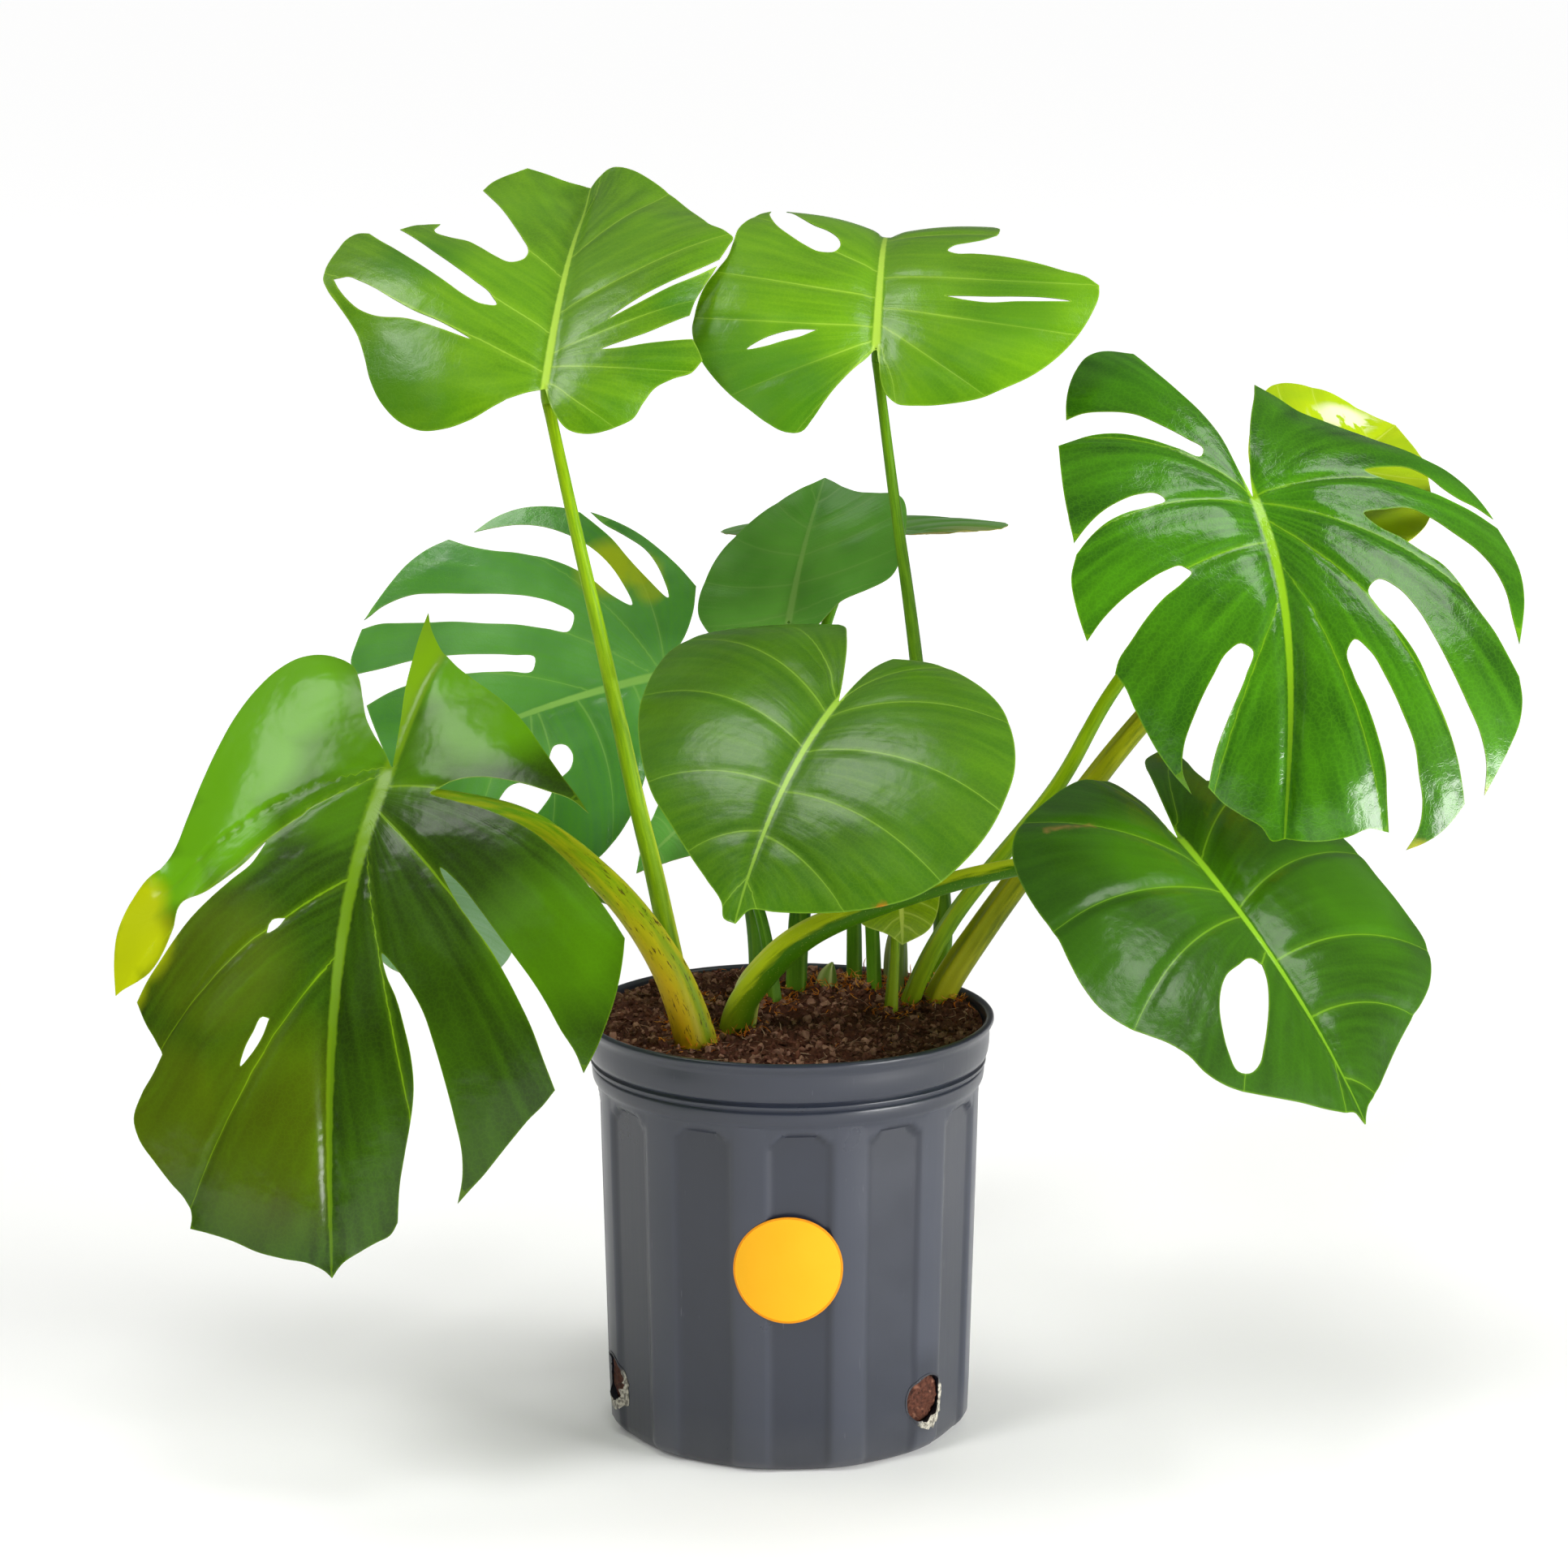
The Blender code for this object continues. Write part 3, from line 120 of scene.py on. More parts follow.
# Leaves: "at" is the stem's point; heading, pitch, bend,
# curl, sway and roll lead the midrib; fold is the rise beside the midrib and the
# droop at the margin, at the notch and at the tip; edge is the outline in strokes
leaves = {
    "leaf_upper_left": dict(
        at=(-150, -20, 670), heading=5, pitch=40, bend=-33, curl=20, length=245, tip=252, bow=0.12,
        right=dict(
            fold=(14, 16, -25, 0),
            margin=((15, -30), (50, -30), (70, 5), (95, 25), (85, 65), (100, 125), (105, 160),
                    (80, 185), (40, 235), (10, 255), (0, 245)),
            veins=((3.4, 0.10), (5.15, 0.15)),
            edge=(((4, -12), (9, -23), (17, -32), (30, -35), (45, -32), (57, -24), (63, -10),
                   (69, 2), (80, 11), (91, 17), (97, 26)),
                  ((93, 35), (89, 43)),
                  ((76, 38), (60, 33), (46, 29), (34, 28), (48, 36), (60, 43), (72, 53), (85, 66)),
                  ((87, 80), (92, 98), (96, 112), (98, 120)),
                  ((86, 103), (71, 86), (54, 69), (36, 55), (53, 73), (70, 90), (85, 107), (99, 127)),
                  ((103, 142), (105, 154), (98, 161), (90, 167), (83, 180), (75, 196), (66, 213),
                   (54, 231), (40, 247), (26, 259), (12, 264), (4, 259)))),
        left=dict(
            fold=(14, 16, -25, 4),
            margin=((35, -20), (60, -30), (100, -5), (130, 60), (150, 105), (145, 145),
                    (130, 150), (105, 160), (80, 160), (65, 220), (40, 245), (0, 245)),
            veins=((4.1, 0.05), (6.2, 0.20), (8.5, 0.45)),
            edge=(((10, -7), (20, -13), (32, -19), (46, -26), (60, -31), (75, -31), (90, -24),
                   (103, -10), (112, 8), (118, 28), (125, 48), (133, 64), (142, 80), (151, 96),
                   (156, 110), (154, 125), (150, 138), (146, 149), (139, 155), (132, 153)),
                  ((124, 141), (112, 126), (99, 110), (85, 95), (71, 82), (58, 71), (47, 65),
                   (38, 66), (42, 76), (55, 88), (69, 101), (82, 115), (94, 131), (105, 146), (112, 155)),
                  ((104, 162), (96, 169), (88, 168)),
                  ((90, 157), (87, 148), (78, 142), (66, 137), (56, 128), (46, 119), (36, 114),
                   (28, 120), (26, 132), (32, 147), (39, 162), (46, 177), (54, 193), (61, 206), (67, 217)),
                  ((63, 228), (55, 239), (48, 247), (43, 256)),
                  ((30, 257), (15, 254))),
            holes=(((148, 104), (142, 91), (134, 78), (124, 66), (110, 56), (92, 50), (72, 41),
                    (50, 32), (70, 46), (88, 56), (102, 67), (116, 80), (129, 92), (139, 101)),))),
    "leaf_upper_middle": dict(
        at=(55, 30, 690), heading=4, pitch=42, bend=-85, late=1.5, length=225, bow=0.12,
        right=dict(
            fold=(14, 12, -25, 0),
            margin=((5, -30), (15, -45), (45, -45), (85, -30), (120, 0), (135, 30), (140, 50),
                    (120, 70), (85, 130), (40, 190), (0, 225)),
            veins=((5.4, 0.20),),
            edge=(((2, -14), (4, -28), (8, -38), (15, -45), (30, -47), (50, -45), (66, -41),
                   (82, -33), (97, -24), (111, -12), (122, 1), (130, 14), (136, 28), (140, 42),
                   (140, 50)),
                  ((130, 57), (118, 60), (105, 65), (90, 70), (75, 74), (60, 77), (48, 79),
                   (43, 84), (47, 91), (56, 94), (65, 98), (72, 106), (75, 115)),
                  ((75, 128), (70, 141), (62, 156), (52, 171), (40, 187), (23, 206))),
            holes=(((43, 37), (55, 36), (70, 35), (88, 35), (106, 35), (122, 34), (106, 32),
                    (88, 31), (70, 30), (55, 33)),)),
        left=dict(
            fold=(14, 18, -30, 10),
            margin=((40, -60), (50, -70), (70, -60), (95, -35), (115, 0), (115, 25), (110, 45),
                    (100, 65), (90, 105), (70, 140), (40, 190), (0, 225)),
            veins=((4.2, 0.05), (9.0, 0.35)),
            edge=(((5, -10), (13, -21), (21, -33), (30, -47), (38, -59), (45, -67), (55, -68),
                   (66, -62), (78, -52), (91, -40), (101, -28), (110, -14), (115, -1), (117, 10),
                   (116, 21), (112, 40), (105, 56), (99, 68), (96, 85), (94, 103), (89, 118),
                   (82, 134), (76, 144)),
                  ((76, 130), (73, 117), (68, 105), (60, 95), (50, 86), (41, 81), (33, 83),
                   (28, 91), (30, 103), (37, 110), (46, 114), (54, 123), (60, 134), (65, 146),
                   (67, 155)),
                  ((58, 168), (48, 182), (36, 196), (20, 211))),
            holes=(((38, 7), (50, 6), (62, 2), (72, -3), (81, -10), (69, -8), (59, -4), (49, 0)),))),
    "leaf_right": dict(
        at=(290, 0, 600), heading=158, sway=42, pitch=-40, bend=-38, length=240, tip=231, bow=0.2,
        right=dict(
            fold=(12, 5, -20, -10),
            margin=((35, -135), (65, -135), (90, -100), (105, -65), (115, -50), (125, -15),
                    (130, 25), (135, 45), (130, 100), (110, 120), (85, 165), (55, 205),
                    (35, 210), (0, 240)),
            veins=((3.2, 0), (6.3, 0.03), (8.3, 0.15), (11.4, 0.30)),
            edge=(((4, -20), (8, -45), (14, -65), (23, -88), (30, -110), (34, -132)),
                  ((50, -137), (66, -133), (78, -122), (88, -108), (96, -92), (101, -78)),
                  ((90, -80), (75, -77), (58, -70), (45, -58), (32, -45), (24, -36), (27, -31),
                   (40, -38), (58, -49), (75, -57), (95, -60), (114, -56)),
                  ((120, -35), (126, -10), (129, 8), (130, 26)),
                  ((120, 16), (108, 7), (95, 1), (80, -3), (68, -2), (64, 3), (75, 7), (92, 10),
                   (108, 16), (120, 25), (130, 36)),
                  ((135, 52), (134, 75), (131, 90), (128, 101)),
                  ((118, 88), (105, 76), (90, 66), (75, 58), (64, 55), (58, 59), (65, 67), (78, 77),
                   (90, 90), (100, 104), (108, 116), (110, 124)),
                  ((104, 133), (98, 147), (90, 163), (82, 177), (72, 191), (60, 204)),
                  ((66, 190), (66, 175), (60, 155), (49, 131), (39, 115), (31, 110), (24, 114),
                   (28, 130), (38, 155), (46, 178), (50, 200)),
                  ((42, 208), (28, 217), (14, 225), (7, 233)))),
        left=dict(
            fold=(12, 5, -20, -10),
            margin=((40, -95), (75, -65), (110, -45), (150, -20), (165, 25), (165, 35),
                    (165, 70), (155, 115), (150, 145), (120, 210), (110, 215), (90, 235),
                    (65, 240), (55, 225), (40, 230), (15, 232), (0, 240)),
            veins=((4.1, 0), (7.3, 0.02), (9.3, 0.07), (12.4, 0.20)),
            edge=(((3, -15), (8, -32), (15, -50), (24, -68), (34, -85), (44, -103)),
                  ((55, -90), (64, -75), (80, -66), (98, -54), (115, -38), (130, -24), (145, -15),
                   (156, -3), (163, 10), (167, 24)),
                  ((155, 17), (143, 12), (133, 5), (126, -4), (115, -11), (98, -12), (80, -9),
                   (90, -3), (105, 2), (120, 8), (135, 15), (150, 22), (166, 32)),
                  ((168, 50), (168, 65), (164, 85), (158, 102), (153, 115)),
                  ((151, 98), (150, 80), (146, 67), (137, 53), (125, 42), (112, 30), (99, 22),
                   (82, 22), (66, 24), (72, 34), (84, 43), (96, 54), (108, 64), (118, 78),
                   (126, 94), (135, 108), (142, 122), (149, 136)),
                  ((150, 150), (147, 164), (140, 178), (132, 192), (122, 209)),
                  ((123, 190), (119, 172), (110, 152), (101, 132), (92, 112), (82, 92), (72, 79),
                   (61, 73), (53, 80), (57, 90), (67, 104), (78, 122), (88, 145), (98, 168),
                   (105, 190), (109, 213)),
                  ((102, 222), (94, 230), (84, 236), (73, 240)),
                  ((80, 228), (82, 212), (79, 195), (76, 178), (68, 158), (58, 136), (48, 118),
                   (40, 111), (35, 118), (38, 133), (46, 152), (53, 172), (58, 190), (60, 210),
                   (62, 229)),
                  ((50, 225), (38, 229), (20, 232))))),
    "leaf_lower_right": dict(
        at=(240, -80, 400), heading=146, sway=-18, pitch=-28, bend=-32, length=220, tip=219, bow=0.15,
        right=dict(
            fold=(10, 5, -20, -10),
            margin=((-5, -50), (20, -70), (65, -55), (110, -25), (135, 35), (145, 90),
                    (130, 125), (105, 160), (70, 185), (25, 205), (0, 220)),
            veins=((7.5, 0.40),),
            edge=(((3, -8), (3, -22), (2, -37), (4, -52), (10, -64)),
                  ((25, -70), (42, -66), (60, -58), (76, -50), (92, -41), (106, -30), (117, -17),
                   (125, -2), (131, 16), (135, 36), (137, 56), (142, 75), (145, 92), (144, 107),
                   (138, 119), (127, 130), (115, 140), (107, 150), (102, 162), (92, 173),
                   (78, 181), (62, 188), (45, 195), (30, 202), (15, 208), (5, 211))),
            holes=(((13, 107), (20, 120), (30, 133), (42, 146), (54, 158), (64, 167), (73, 170),
                    (80, 167), (80, 155), (76, 142), (70, 130), (61, 119), (49, 110), (34, 105),
                    (20, 102)),)),
        left=dict(
            fold=(10, 5, -20, -10),
            margin=((25, -70), (55, -85), (100, -65), (120, -20), (130, 40), (135, 100),
                    (125, 140), (90, 165), (40, 195), (0, 220)),
            edge=(((3, -12), (7, -28), (13, -45), (20, -60), (28, -74), (38, -85), (49, -89)),
                  ((54, -80), (53, -67), (50, -54), (51, -43)),
                  ((64, -41), (82, -40), (98, -32), (112, -17), (122, 0), (128, 16), (132, 34),
                   (133, 58), (136, 76), (139, 95), (142, 110), (140, 123), (134, 134), (125, 145),
                   (112, 155), (96, 164), (78, 174), (60, 184), (40, 195), (20, 205), (8, 210))))),
    "leaf_front": dict(
        at=(30, -130, 495), heading=212, sway=-4, pitch=-26, bend=-34, length=168, bow=0.15,
        right=dict(
            fold=(10, 5, -25, -10),
            margin=((50, -90), (100, -85), (150, -60), (145, -5), (105, 70), (60, 115),
                    (20, 150), (0, 168)),
            edge=(((7, -20), (17, -43), (29, -64), (41, -81), (52, -90)),
                  ((75, -90), (100, -86), (124, -77), (143, -66), (152, -50), (152, -28), (146, -4),
                   (136, 20), (121, 46), (104, 70), (85, 92), (65, 110), (45, 128), (26, 144),
                   (12, 157), (8, 166)))),
        left=dict(
            fold=(10, 5, -25, -10),
            margin=((10, -55), (55, -50), (110, -15), (140, 40), (135, 95), (115, 130),
                    (70, 150), (25, 158), (0, 168)),
            edge=(((3, -16), (6, -34), (10, -52)),
                  ((27, -54), (46, -51), (66, -44), (84, -34), (100, -21), (114, -5), (127, 15),
                   (136, 37), (139, 60), (138, 82), (132, 103), (122, 121), (108, 135), (88, 145),
                   (65, 152), (42, 156), (22, 158), (7, 159))))),
    "leaf_back_middle": dict(
        at=(0, 95, 505), heading=20, pitch=60, bend=-20, length=112, bow=0.15,
        right=dict(fold=(8, 8, -18, 0),
                   margin=((10, -5), (35, 18), (65, 40), (67, 70), (58, 97), (25, 100), (0, 112))),
        left=dict(fold=(8, 8, -18, 0),
                  margin=((10, -12), (36, -19), (62, 0), (60, 36), (40, 72), (14, 100), (0, 112)))),
    "leaf_left_back": dict(
        at=(-80, 100, 470), heading=268, pitch=-12, bend=-16, roll=-62, length=190, bow=0.2,
        right=dict(
            fold=(8, 5, -20, -10),
            margin=((55, -30), (85, -15), (110, 5), (130, 30), (135, 45), (140, 65),
                    (135, 100), (140, 120), (130, 150), (115, 180), (105, 185), (85, 195),
                    (70, 195), (50, 190), (30, 185), (0, 190)),
            veins=((3.2, 0), (6.4, 0.01), (9.3, 0.03), (12.2, 0.25)),
            edge=(((10, -7), (21, -17), (38, -26), (57, -31)),
                  ((72, -23), (88, -12), (104, 1), (116, 14), (126, 27)),
                  ((113, 19), (100, 7), (88, -3), (70, -10), (50, -12), (68, 0), (85, 9), (100, 16),
                   (113, 24), (127, 33)),
                  ((134, 43), (140, 57), (143, 72), (142, 88), (137, 101)),
                  ((134, 86), (130, 72), (123, 58), (113, 45), (102, 34), (88, 24), (70, 16), (50, 12),
                   (60, 23), (74, 33), (88, 46), (99, 60), (108, 75), (116, 90), (126, 104), (138, 117)),
                  ((138, 132), (134, 147), (126, 160), (117, 172), (110, 182)),
                  ((112, 166), (110, 148), (102, 130), (92, 110), (83, 90), (74, 72), (64, 58),
                   (53, 49), (44, 54), (50, 68), (59, 85), (68, 105), (78, 124), (86, 142),
                   (94, 158), (101, 172), (104, 184)),
                  ((96, 190), (86, 196), (76, 194)),
                  ((70, 176), (65, 156), (57, 132), (48, 110), (40, 92), (33, 79), (26, 82),
                   (31, 98), (37, 114), (43, 132), (49, 154), (52, 174), (52, 192)),
                  ((36, 191), (18, 190)))),
        left=dict(
            fold=(8, 5, -15, -10),
            margin=((50, 20), (80, 35), (95, 55), (110, 80), (95, 115), (100, 135), (90, 160),
                    (70, 175), (30, 185), (0, 190)),
            veins=((3.4, 0.45), (6.4, 0.50)),
            edge=(((15, 2), (32, 10), (50, 20), (66, 29), (80, 38), (92, 50), (102, 64), (109, 80),
                   (109, 95), (103, 112), (92, 127), (78, 138)),
                  ((72, 121), (64, 103), (56, 94), (46, 106), (43, 119), (50, 132), (60, 148)),
                  ((57, 162), (45, 173), (25, 183))),
            holes=(((50, 85), (46, 77), (38, 73), (30, 76), (28, 83), (35, 89), (44, 90)),))),
    "leaf_front_left": dict(
        at=(-245, -60, 440), heading=202, sway=-32, pitch=-38, bend=-44, length=330, bow=0.15,
        right=dict(
            fold=(15, 5, -10, -15),
            margin=((50, -75), (85, -80), (110, -60), (120, -5), (115, 60), (110, 105),
                    (140, 105), (140, 175), (125, 175), (105, 200), (110, 215), (120, 240),
                    (85, 285), (80, 295), (45, 310), (10, 322), (0, 330)),
            veins=((5.3, 0), (7.4, 0.01), (9.4, 0.25), (12.4, 0.40)),
            edge=(((8, -10), (18, -20), (27, -31), (35, -46), (44, -62), (54, -74), (66, -80),
                   (80, -82), (94, -78), (105, -66), (113, -48), (118, -25), (120, 0), (121, 30),
                   (121, 55), (122, 74), (127, 89), (136, 101), (144, 116), (147, 134), (145, 153),
                   (140, 174)),
                  ((130, 166), (119, 158), (111, 145), (107, 130), (104, 116), (93, 108), (81, 98),
                   (69, 85), (59, 69), (64, 84), (75, 97), (86, 110), (96, 123), (104, 136),
                   (112, 150), (119, 162), (125, 175)),
                  ((117, 187), (109, 196), (104, 203)),
                  ((109, 213), (116, 226), (120, 240), (116, 252), (106, 265), (96, 277), (86, 288),
                   (83, 296), (84, 303)),
                  ((72, 305), (58, 309), (44, 315), (28, 319), (12, 322), (4, 326))),
            holes=(((38, 178), (42, 190), (48, 200), (54, 207), (52, 197), (47, 186), (42, 177)),
                   ((36, 115), (40, 122), (46, 126), (44, 118)))),
        left=dict(
            fold=(15, 5, -10, -15),
            margin=((-20, -115), (10, -85), (60, -55), (105, -10), (140, 25), (160, 90),
                    (180, 115), (175, 160), (160, 200), (140, 215), (120, 235), (80, 285),
                    (45, 295), (20, 312), (0, 330)),
            veins=((4.5, 0.05), (8.5, 0.10), (11.5, 0.15)),
            edge=(((-2, -15), (-5, -35), (-9, -55), (-13, -80), (-17, -103), (-21, -126)),
                  ((-12, -110), (0, -96), (13, -84), (28, -74), (45, -64), (62, -53), (80, -38),
                   (98, -20), (115, -3), (130, 12), (143, 27)),
                  ((130, 19), (115, 16), (100, 13), (85, 11), (70, 10), (55, 12), (45, 16), (37, 22),
                   (55, 29), (75, 34), (95, 41), (113, 49), (130, 60), (145, 72), (158, 85),
                   (170, 99), (180, 113)),
                  ((180, 125), (179, 138), (176, 155), (171, 172), (166, 186), (158, 202)),
                  ((153, 190), (144, 177), (135, 162), (126, 149), (116, 137), (103, 122), (89, 106),
                   (75, 91), (58, 78), (70, 97), (84, 114), (97, 129), (108, 145), (117, 160),
                   (126, 177), (133, 195), (140, 213)),
                  ((132, 223), (124, 231), (115, 242), (105, 255), (95, 268), (86, 278), (79, 286)),
                  ((82, 270), (82, 255), (78, 235), (72, 212), (65, 190), (57, 170), (48, 156),
                   (38, 144), (28, 135), (32, 148), (40, 163), (46, 180), (51, 198), (53, 216),
                   (51, 235), (47, 255), (43, 275), (41, 298)),
                  ((36, 306), (28, 310), (18, 315), (7, 321))))),
    "leaf_right_young": dict(
        at=(325, 80, 570), heading=36, pitch=28, bend=-14, length=145, bow=0.15,
        right=dict(fold=(10, 8, -15, 0),
                   margin=((40, -30), (75, -25), (90, 0), (64, 68), (0, 145))),
        left=dict(fold=(16, 16, -8, 4),
                  margin=((18, 8), (56, 50), (86, 112), (95, 158), (58, 162), (0, 145)))),
    "leaf_hidden_middle": dict(
        at=(-45, 30, 400), heading=258, pitch=-30, bend=-20, roll=-30, length=70, bow=0.15,
        right=dict(fold=(10, 5, -20, -5),
                   margin=((10, -20), (30, -20), (38, 10), (22, 40), (0, 70))),
        left=dict(fold=(10, 5, -20, -5),
                  margin=((10, -20), (30, -20), (38, 10), (22, 40), (0, 70)))),
    "leaf_hidden_left": dict(
        at=(-245, 40, 360), heading=150, pitch=-15, bend=-40, length=120, bow=0.15,
        right=dict(fold=(8, 5, -20, -5),
                   margin=((10, -15), (40, 10), (60, 60), (50, 95), (20, 112), (0, 120))),
        left=dict(fold=(8, 5, -20, -5),
                  margin=((25, -20), (45, 5), (50, 55), (35, 95), (0, 120)))),
    "leaf_back": dict(
        at=(43, 250, 546), heading=148, pitch=2, bend=6, length=125, bow=0.15,
        right=dict(fold=(7, 6, -6, -4),
                   margin=((10, -35), (55, -45), (95, -15), (104, 15), (80, 62), (40, 98), (0, 125))),
        left=dict(fold=(7, 4, -12, -10),
                  margin=((10, -35), (50, -45), (88, -12), (100, 30), (82, 70), (45, 100), (0, 125)))),
    "leaf_small": dict(
        at=(70, -6, 358), heading=172, pitch=-50, bend=-35, length=44, bow=0.15,
        right=dict(fold=(14, 5, -12, -5),
                   margin=((5, -10), (25, -8), (34, 12), (27, 29), (8, 38), (0, 42))),
        left=dict(fold=(14, 5, -12, -5),
                  margin=((10, -10), (23, -5), (25, 16), (18, 34), (0, 42)))),
}

# Stems: base (x, y, radius), the points passed, and the radius under the blade
stems = {
    "upper_left": dict(base=(-66, -14, 7), way=((-82, -16, 351), (-96, -20, 414), (-113, -25, 498),
                                                (-133, -25, 590)), top=3.5),
    "upper_middle": dict(base=(88, 60, 6.5), way=((101, 60, 311), (82, 45, 488), (66, 30, 602)), top=3),
    "right": dict(base=(78, 26, 6), way=((106, 20, 326), (170, 22, 409), (211, 35, 477)), top=4),
    "lower_right": dict(base=(-34, -20, 9.5), way=((-19, -30, 296), (20, -45, 334), (95, -50, 363),
                                                   (166, -55, 379)), top=4.5),
    "front": dict(base=(5, 48, 7), way=((8, 40, 320), (18, -30, 420)), top=4.5),
    "back_middle": dict(base=(44, 72, 5), way=((40, 90, 350), (15, 110, 440)), top=3.5),
    "left_back": dict(base=(-19, 38, 6), way=((-24, 50, 330), (-50, 85, 420)), top=4),
    "front_left": dict(base=(-60, -56, 11.5), way=((-79, -54, 318), (-115, -45, 365),
                                                   (-168, -30, 401)), top=6.5),
    "right_young": dict(base=(97, 33, 9), way=((128, 40, 316), (188, 50, 397), (232, 60, 451)), top=6),
    "hidden_middle": dict(base=(-8, 18, 4), way=((-16, 20, 320), (-30, 25, 360)), top=3),
    "hidden_left": dict(base=(-62, 24, 5), way=((-89, 28, 313), (-125, 25, 340), (-205, 48, 325)), top=3.5),
    "back": dict(base=(57, 48, 4.5), way=((50, 90, 350), (20, 190, 450)), top=3.5),
    "small": dict(base=(66, 8, 4.5), way=((68, 10, 305),), top=2),
}

# Sheath stubs: x, y, radius, height, lean
sheaths = {"sheath_left": (26, 50, 6, 32, 3), "sheath_middle": (72, 74, 6.5, 60, 2),
           "sheath_right": (71, 52, 4.5, 70, 4), }


# Blades


def curveWeights(t):  # of a smooth piece's start, its slope there, its end and its slope there
    return 2 * t**3 - 3 * t**2 + 1, t**3 - 2 * t**2 + t, -2 * t**3 + 3 * t**2, t**3 - t**2


def flatCross(a, b):
    return a[:, 0] * b[:, 1] - a[:, 1] * b[:, 0]


def faceSides(faces):
    return np.concatenate([faces[:, (0, 1)], faces[:, (1, 2)], faces[:, (2, 0)]])


def smoothRows(q, rows):  # a smooth curve through rows[0], rows[1] ..., read at q
    rows = np.asarray(rows, float)
    last = len(rows) - 1
    q = np.clip(np.asarray(q, float), 0, last)
    i = np.minimum(np.floor(q).astype(int), last - 1)
    atStart, startSlope, atEnd, endSlope = curveWeights((q - i)[..., None])
    here, after = rows[i], rows[i + 1]
    before = np.where(i[..., None] > 0, rows[np.maximum(i - 1, 0)], 2 * here - after)
    beyond = np.where(i[..., None] < last - 1, rows[np.minimum(i + 2, last)], 2 * after - here)
    leave, arrive = (after - before) / 2, (beyond - here) / 2
    return atStart * here + startSlope * leave + atEnd * after + endSlope * arrive


def midribOf(leaf, steps=60):  # distances, points, side, ahead and up along the midrib
    share = np.linspace(0, 1, steps + 1)
    turn = share**leaf.get("late", 1)
    curl = leaf.get("curl", 0) * np.clip(5 * share - 4, 0, 1)
    pitch = np.radians(leaf["pitch"] + leaf["bend"] * turn + curl)
    heading = np.radians(leaf["heading"] + leaf.get("sway", 0) * turn)
    roll = np.radians(leaf.get("roll", 0))
    ahead = np.stack([np.cos(pitch) * np.sin(heading), np.cos(pitch) * np.cos(heading), np.sin(pitch)], -1)
    level = np.stack([np.cos(heading), -np.sin(heading), np.zeros_like(heading)], -1)
    side = level * np.cos(roll) - np.cross(level, ahead) * np.sin(roll)
    length = leaf["length"] * mm
    taken = (ahead[1:] + ahead[:-1]) / 2 * length / steps
    start = np.array(leaf["at"]) * mm
    points = np.concatenate([[start], start + np.cumsum(taken, 0)])
    return share * length, points, side, ahead, np.cross(side, ahead)


def readAlong(distance, rib, values):
    return np.stack([np.interp(distance, rib, values[:, k]) for k in range(3)], -1)


def veinStart(leaf, side, q):  # where the vein of place q leaves the midrib; the last one does at 93%
    last = len(side["margin"]) - 1
    veins = side.get("veins", ())
    if veins:
        places = [0, *[vein[0] for vein in veins], last]
        shares = [0, *[vein[1] for vein in veins], 0.93]
        return leaf["length"] * mm * np.interp(q, places, shares)
    return leaf["length"] * mm * 0.93 * np.clip((q - 1.5) / (last - 1.5), 0, 1)


def veinNet(leaf, side, sign):  # flat places, points in space, q, r and pace over half a blade
    rib, ribPoints, ribSide, ribAhead, ribUp = midribOf(leaf)
    last = len(side["margin"]) - 1
    qs = np.linspace(0, last, 16 * last + 1)
    rs = np.linspace(0, 1.15, 70)  # a little past the margin
    end = smoothRows(qs, side["margin"]) * mm * np.array([sign, 1])
    begin = veinStart(leaf, side, qs)
    start = np.stack([np.zeros_like(begin), begin], -1)
    chord = end - start
    sideways = np.abs(chord[:, :1]) / np.linalg.norm(chord, axis=-1)[:, None]
    across = np.stack([chord[:, 1], -chord[:, 0]], -1) * sign
    middle = start + chord / 2 + across * leaf["bow"] * sideways
    riseNotch, riseTip, droopNotch, droopTip = side["fold"]
    flatten = np.clip(last - qs, 0, 1)
    rise = (riseNotch + (riseTip - riseNotch) * qs / last) * flatten
    droop = (droopNotch + (droopTip - droopNotch) * qs / last) * flatten
    t = rs[None, :, None]
    flat = (1 - t)**2 * start[:, None] + 2 * t * (1 - t) * middle[:, None] + t**2 * end[:, None]
    place = readAlong(begin, rib, ribPoints)
    space = [place]
    for k in range(1, len(rs)):
        move = flat[:, k] - flat[:, k - 1]
        along = (flat[:, k, 1] + flat[:, k - 1, 1]) / 2
        angle = np.radians(rise + (droop - rise) * ((rs[k] + rs[k - 1]) / 2)**1.2)[:, None]
        run = (readAlong(along, rib, ribSide) * move[:, :1] + readAlong(along, rib, ribAhead) * move[:, 1:])
        lift = readAlong(along, rib, ribUp) * np.linalg.norm(move, axis=-1)[:, None]
        place = place + run * np.cos(angle) + lift * np.sin(angle)
        space.append(place)
    space = np.stack(space, 1)
    pace = np.linalg.norm(np.gradient(flat, qs, axis=0), axis=-1) / mm
    q, r = np.meshgrid(qs, rs, indexing="ij")
    rows, columns = q.shape
    k = (np.arange(rows - 1)[:, None] * columns + np.arange(columns - 1)).reshape(-1, 1)
    triangles = np.concatenate([k + (0, 1, columns), k + (1, columns + 1, columns)])
    flat = flat.reshape(-1, 2)
    a, b, c = (flat[triangles[:, n]] for n in range(3))
    size = np.abs(flatCross(b - a, c - a))
    data = np.concatenate([space.reshape(-1, 3), np.stack([q.ravel(), r.ravel(), pace.ravel()], -1)], 1)
    return flat, data, triangles[size > 1e-9]


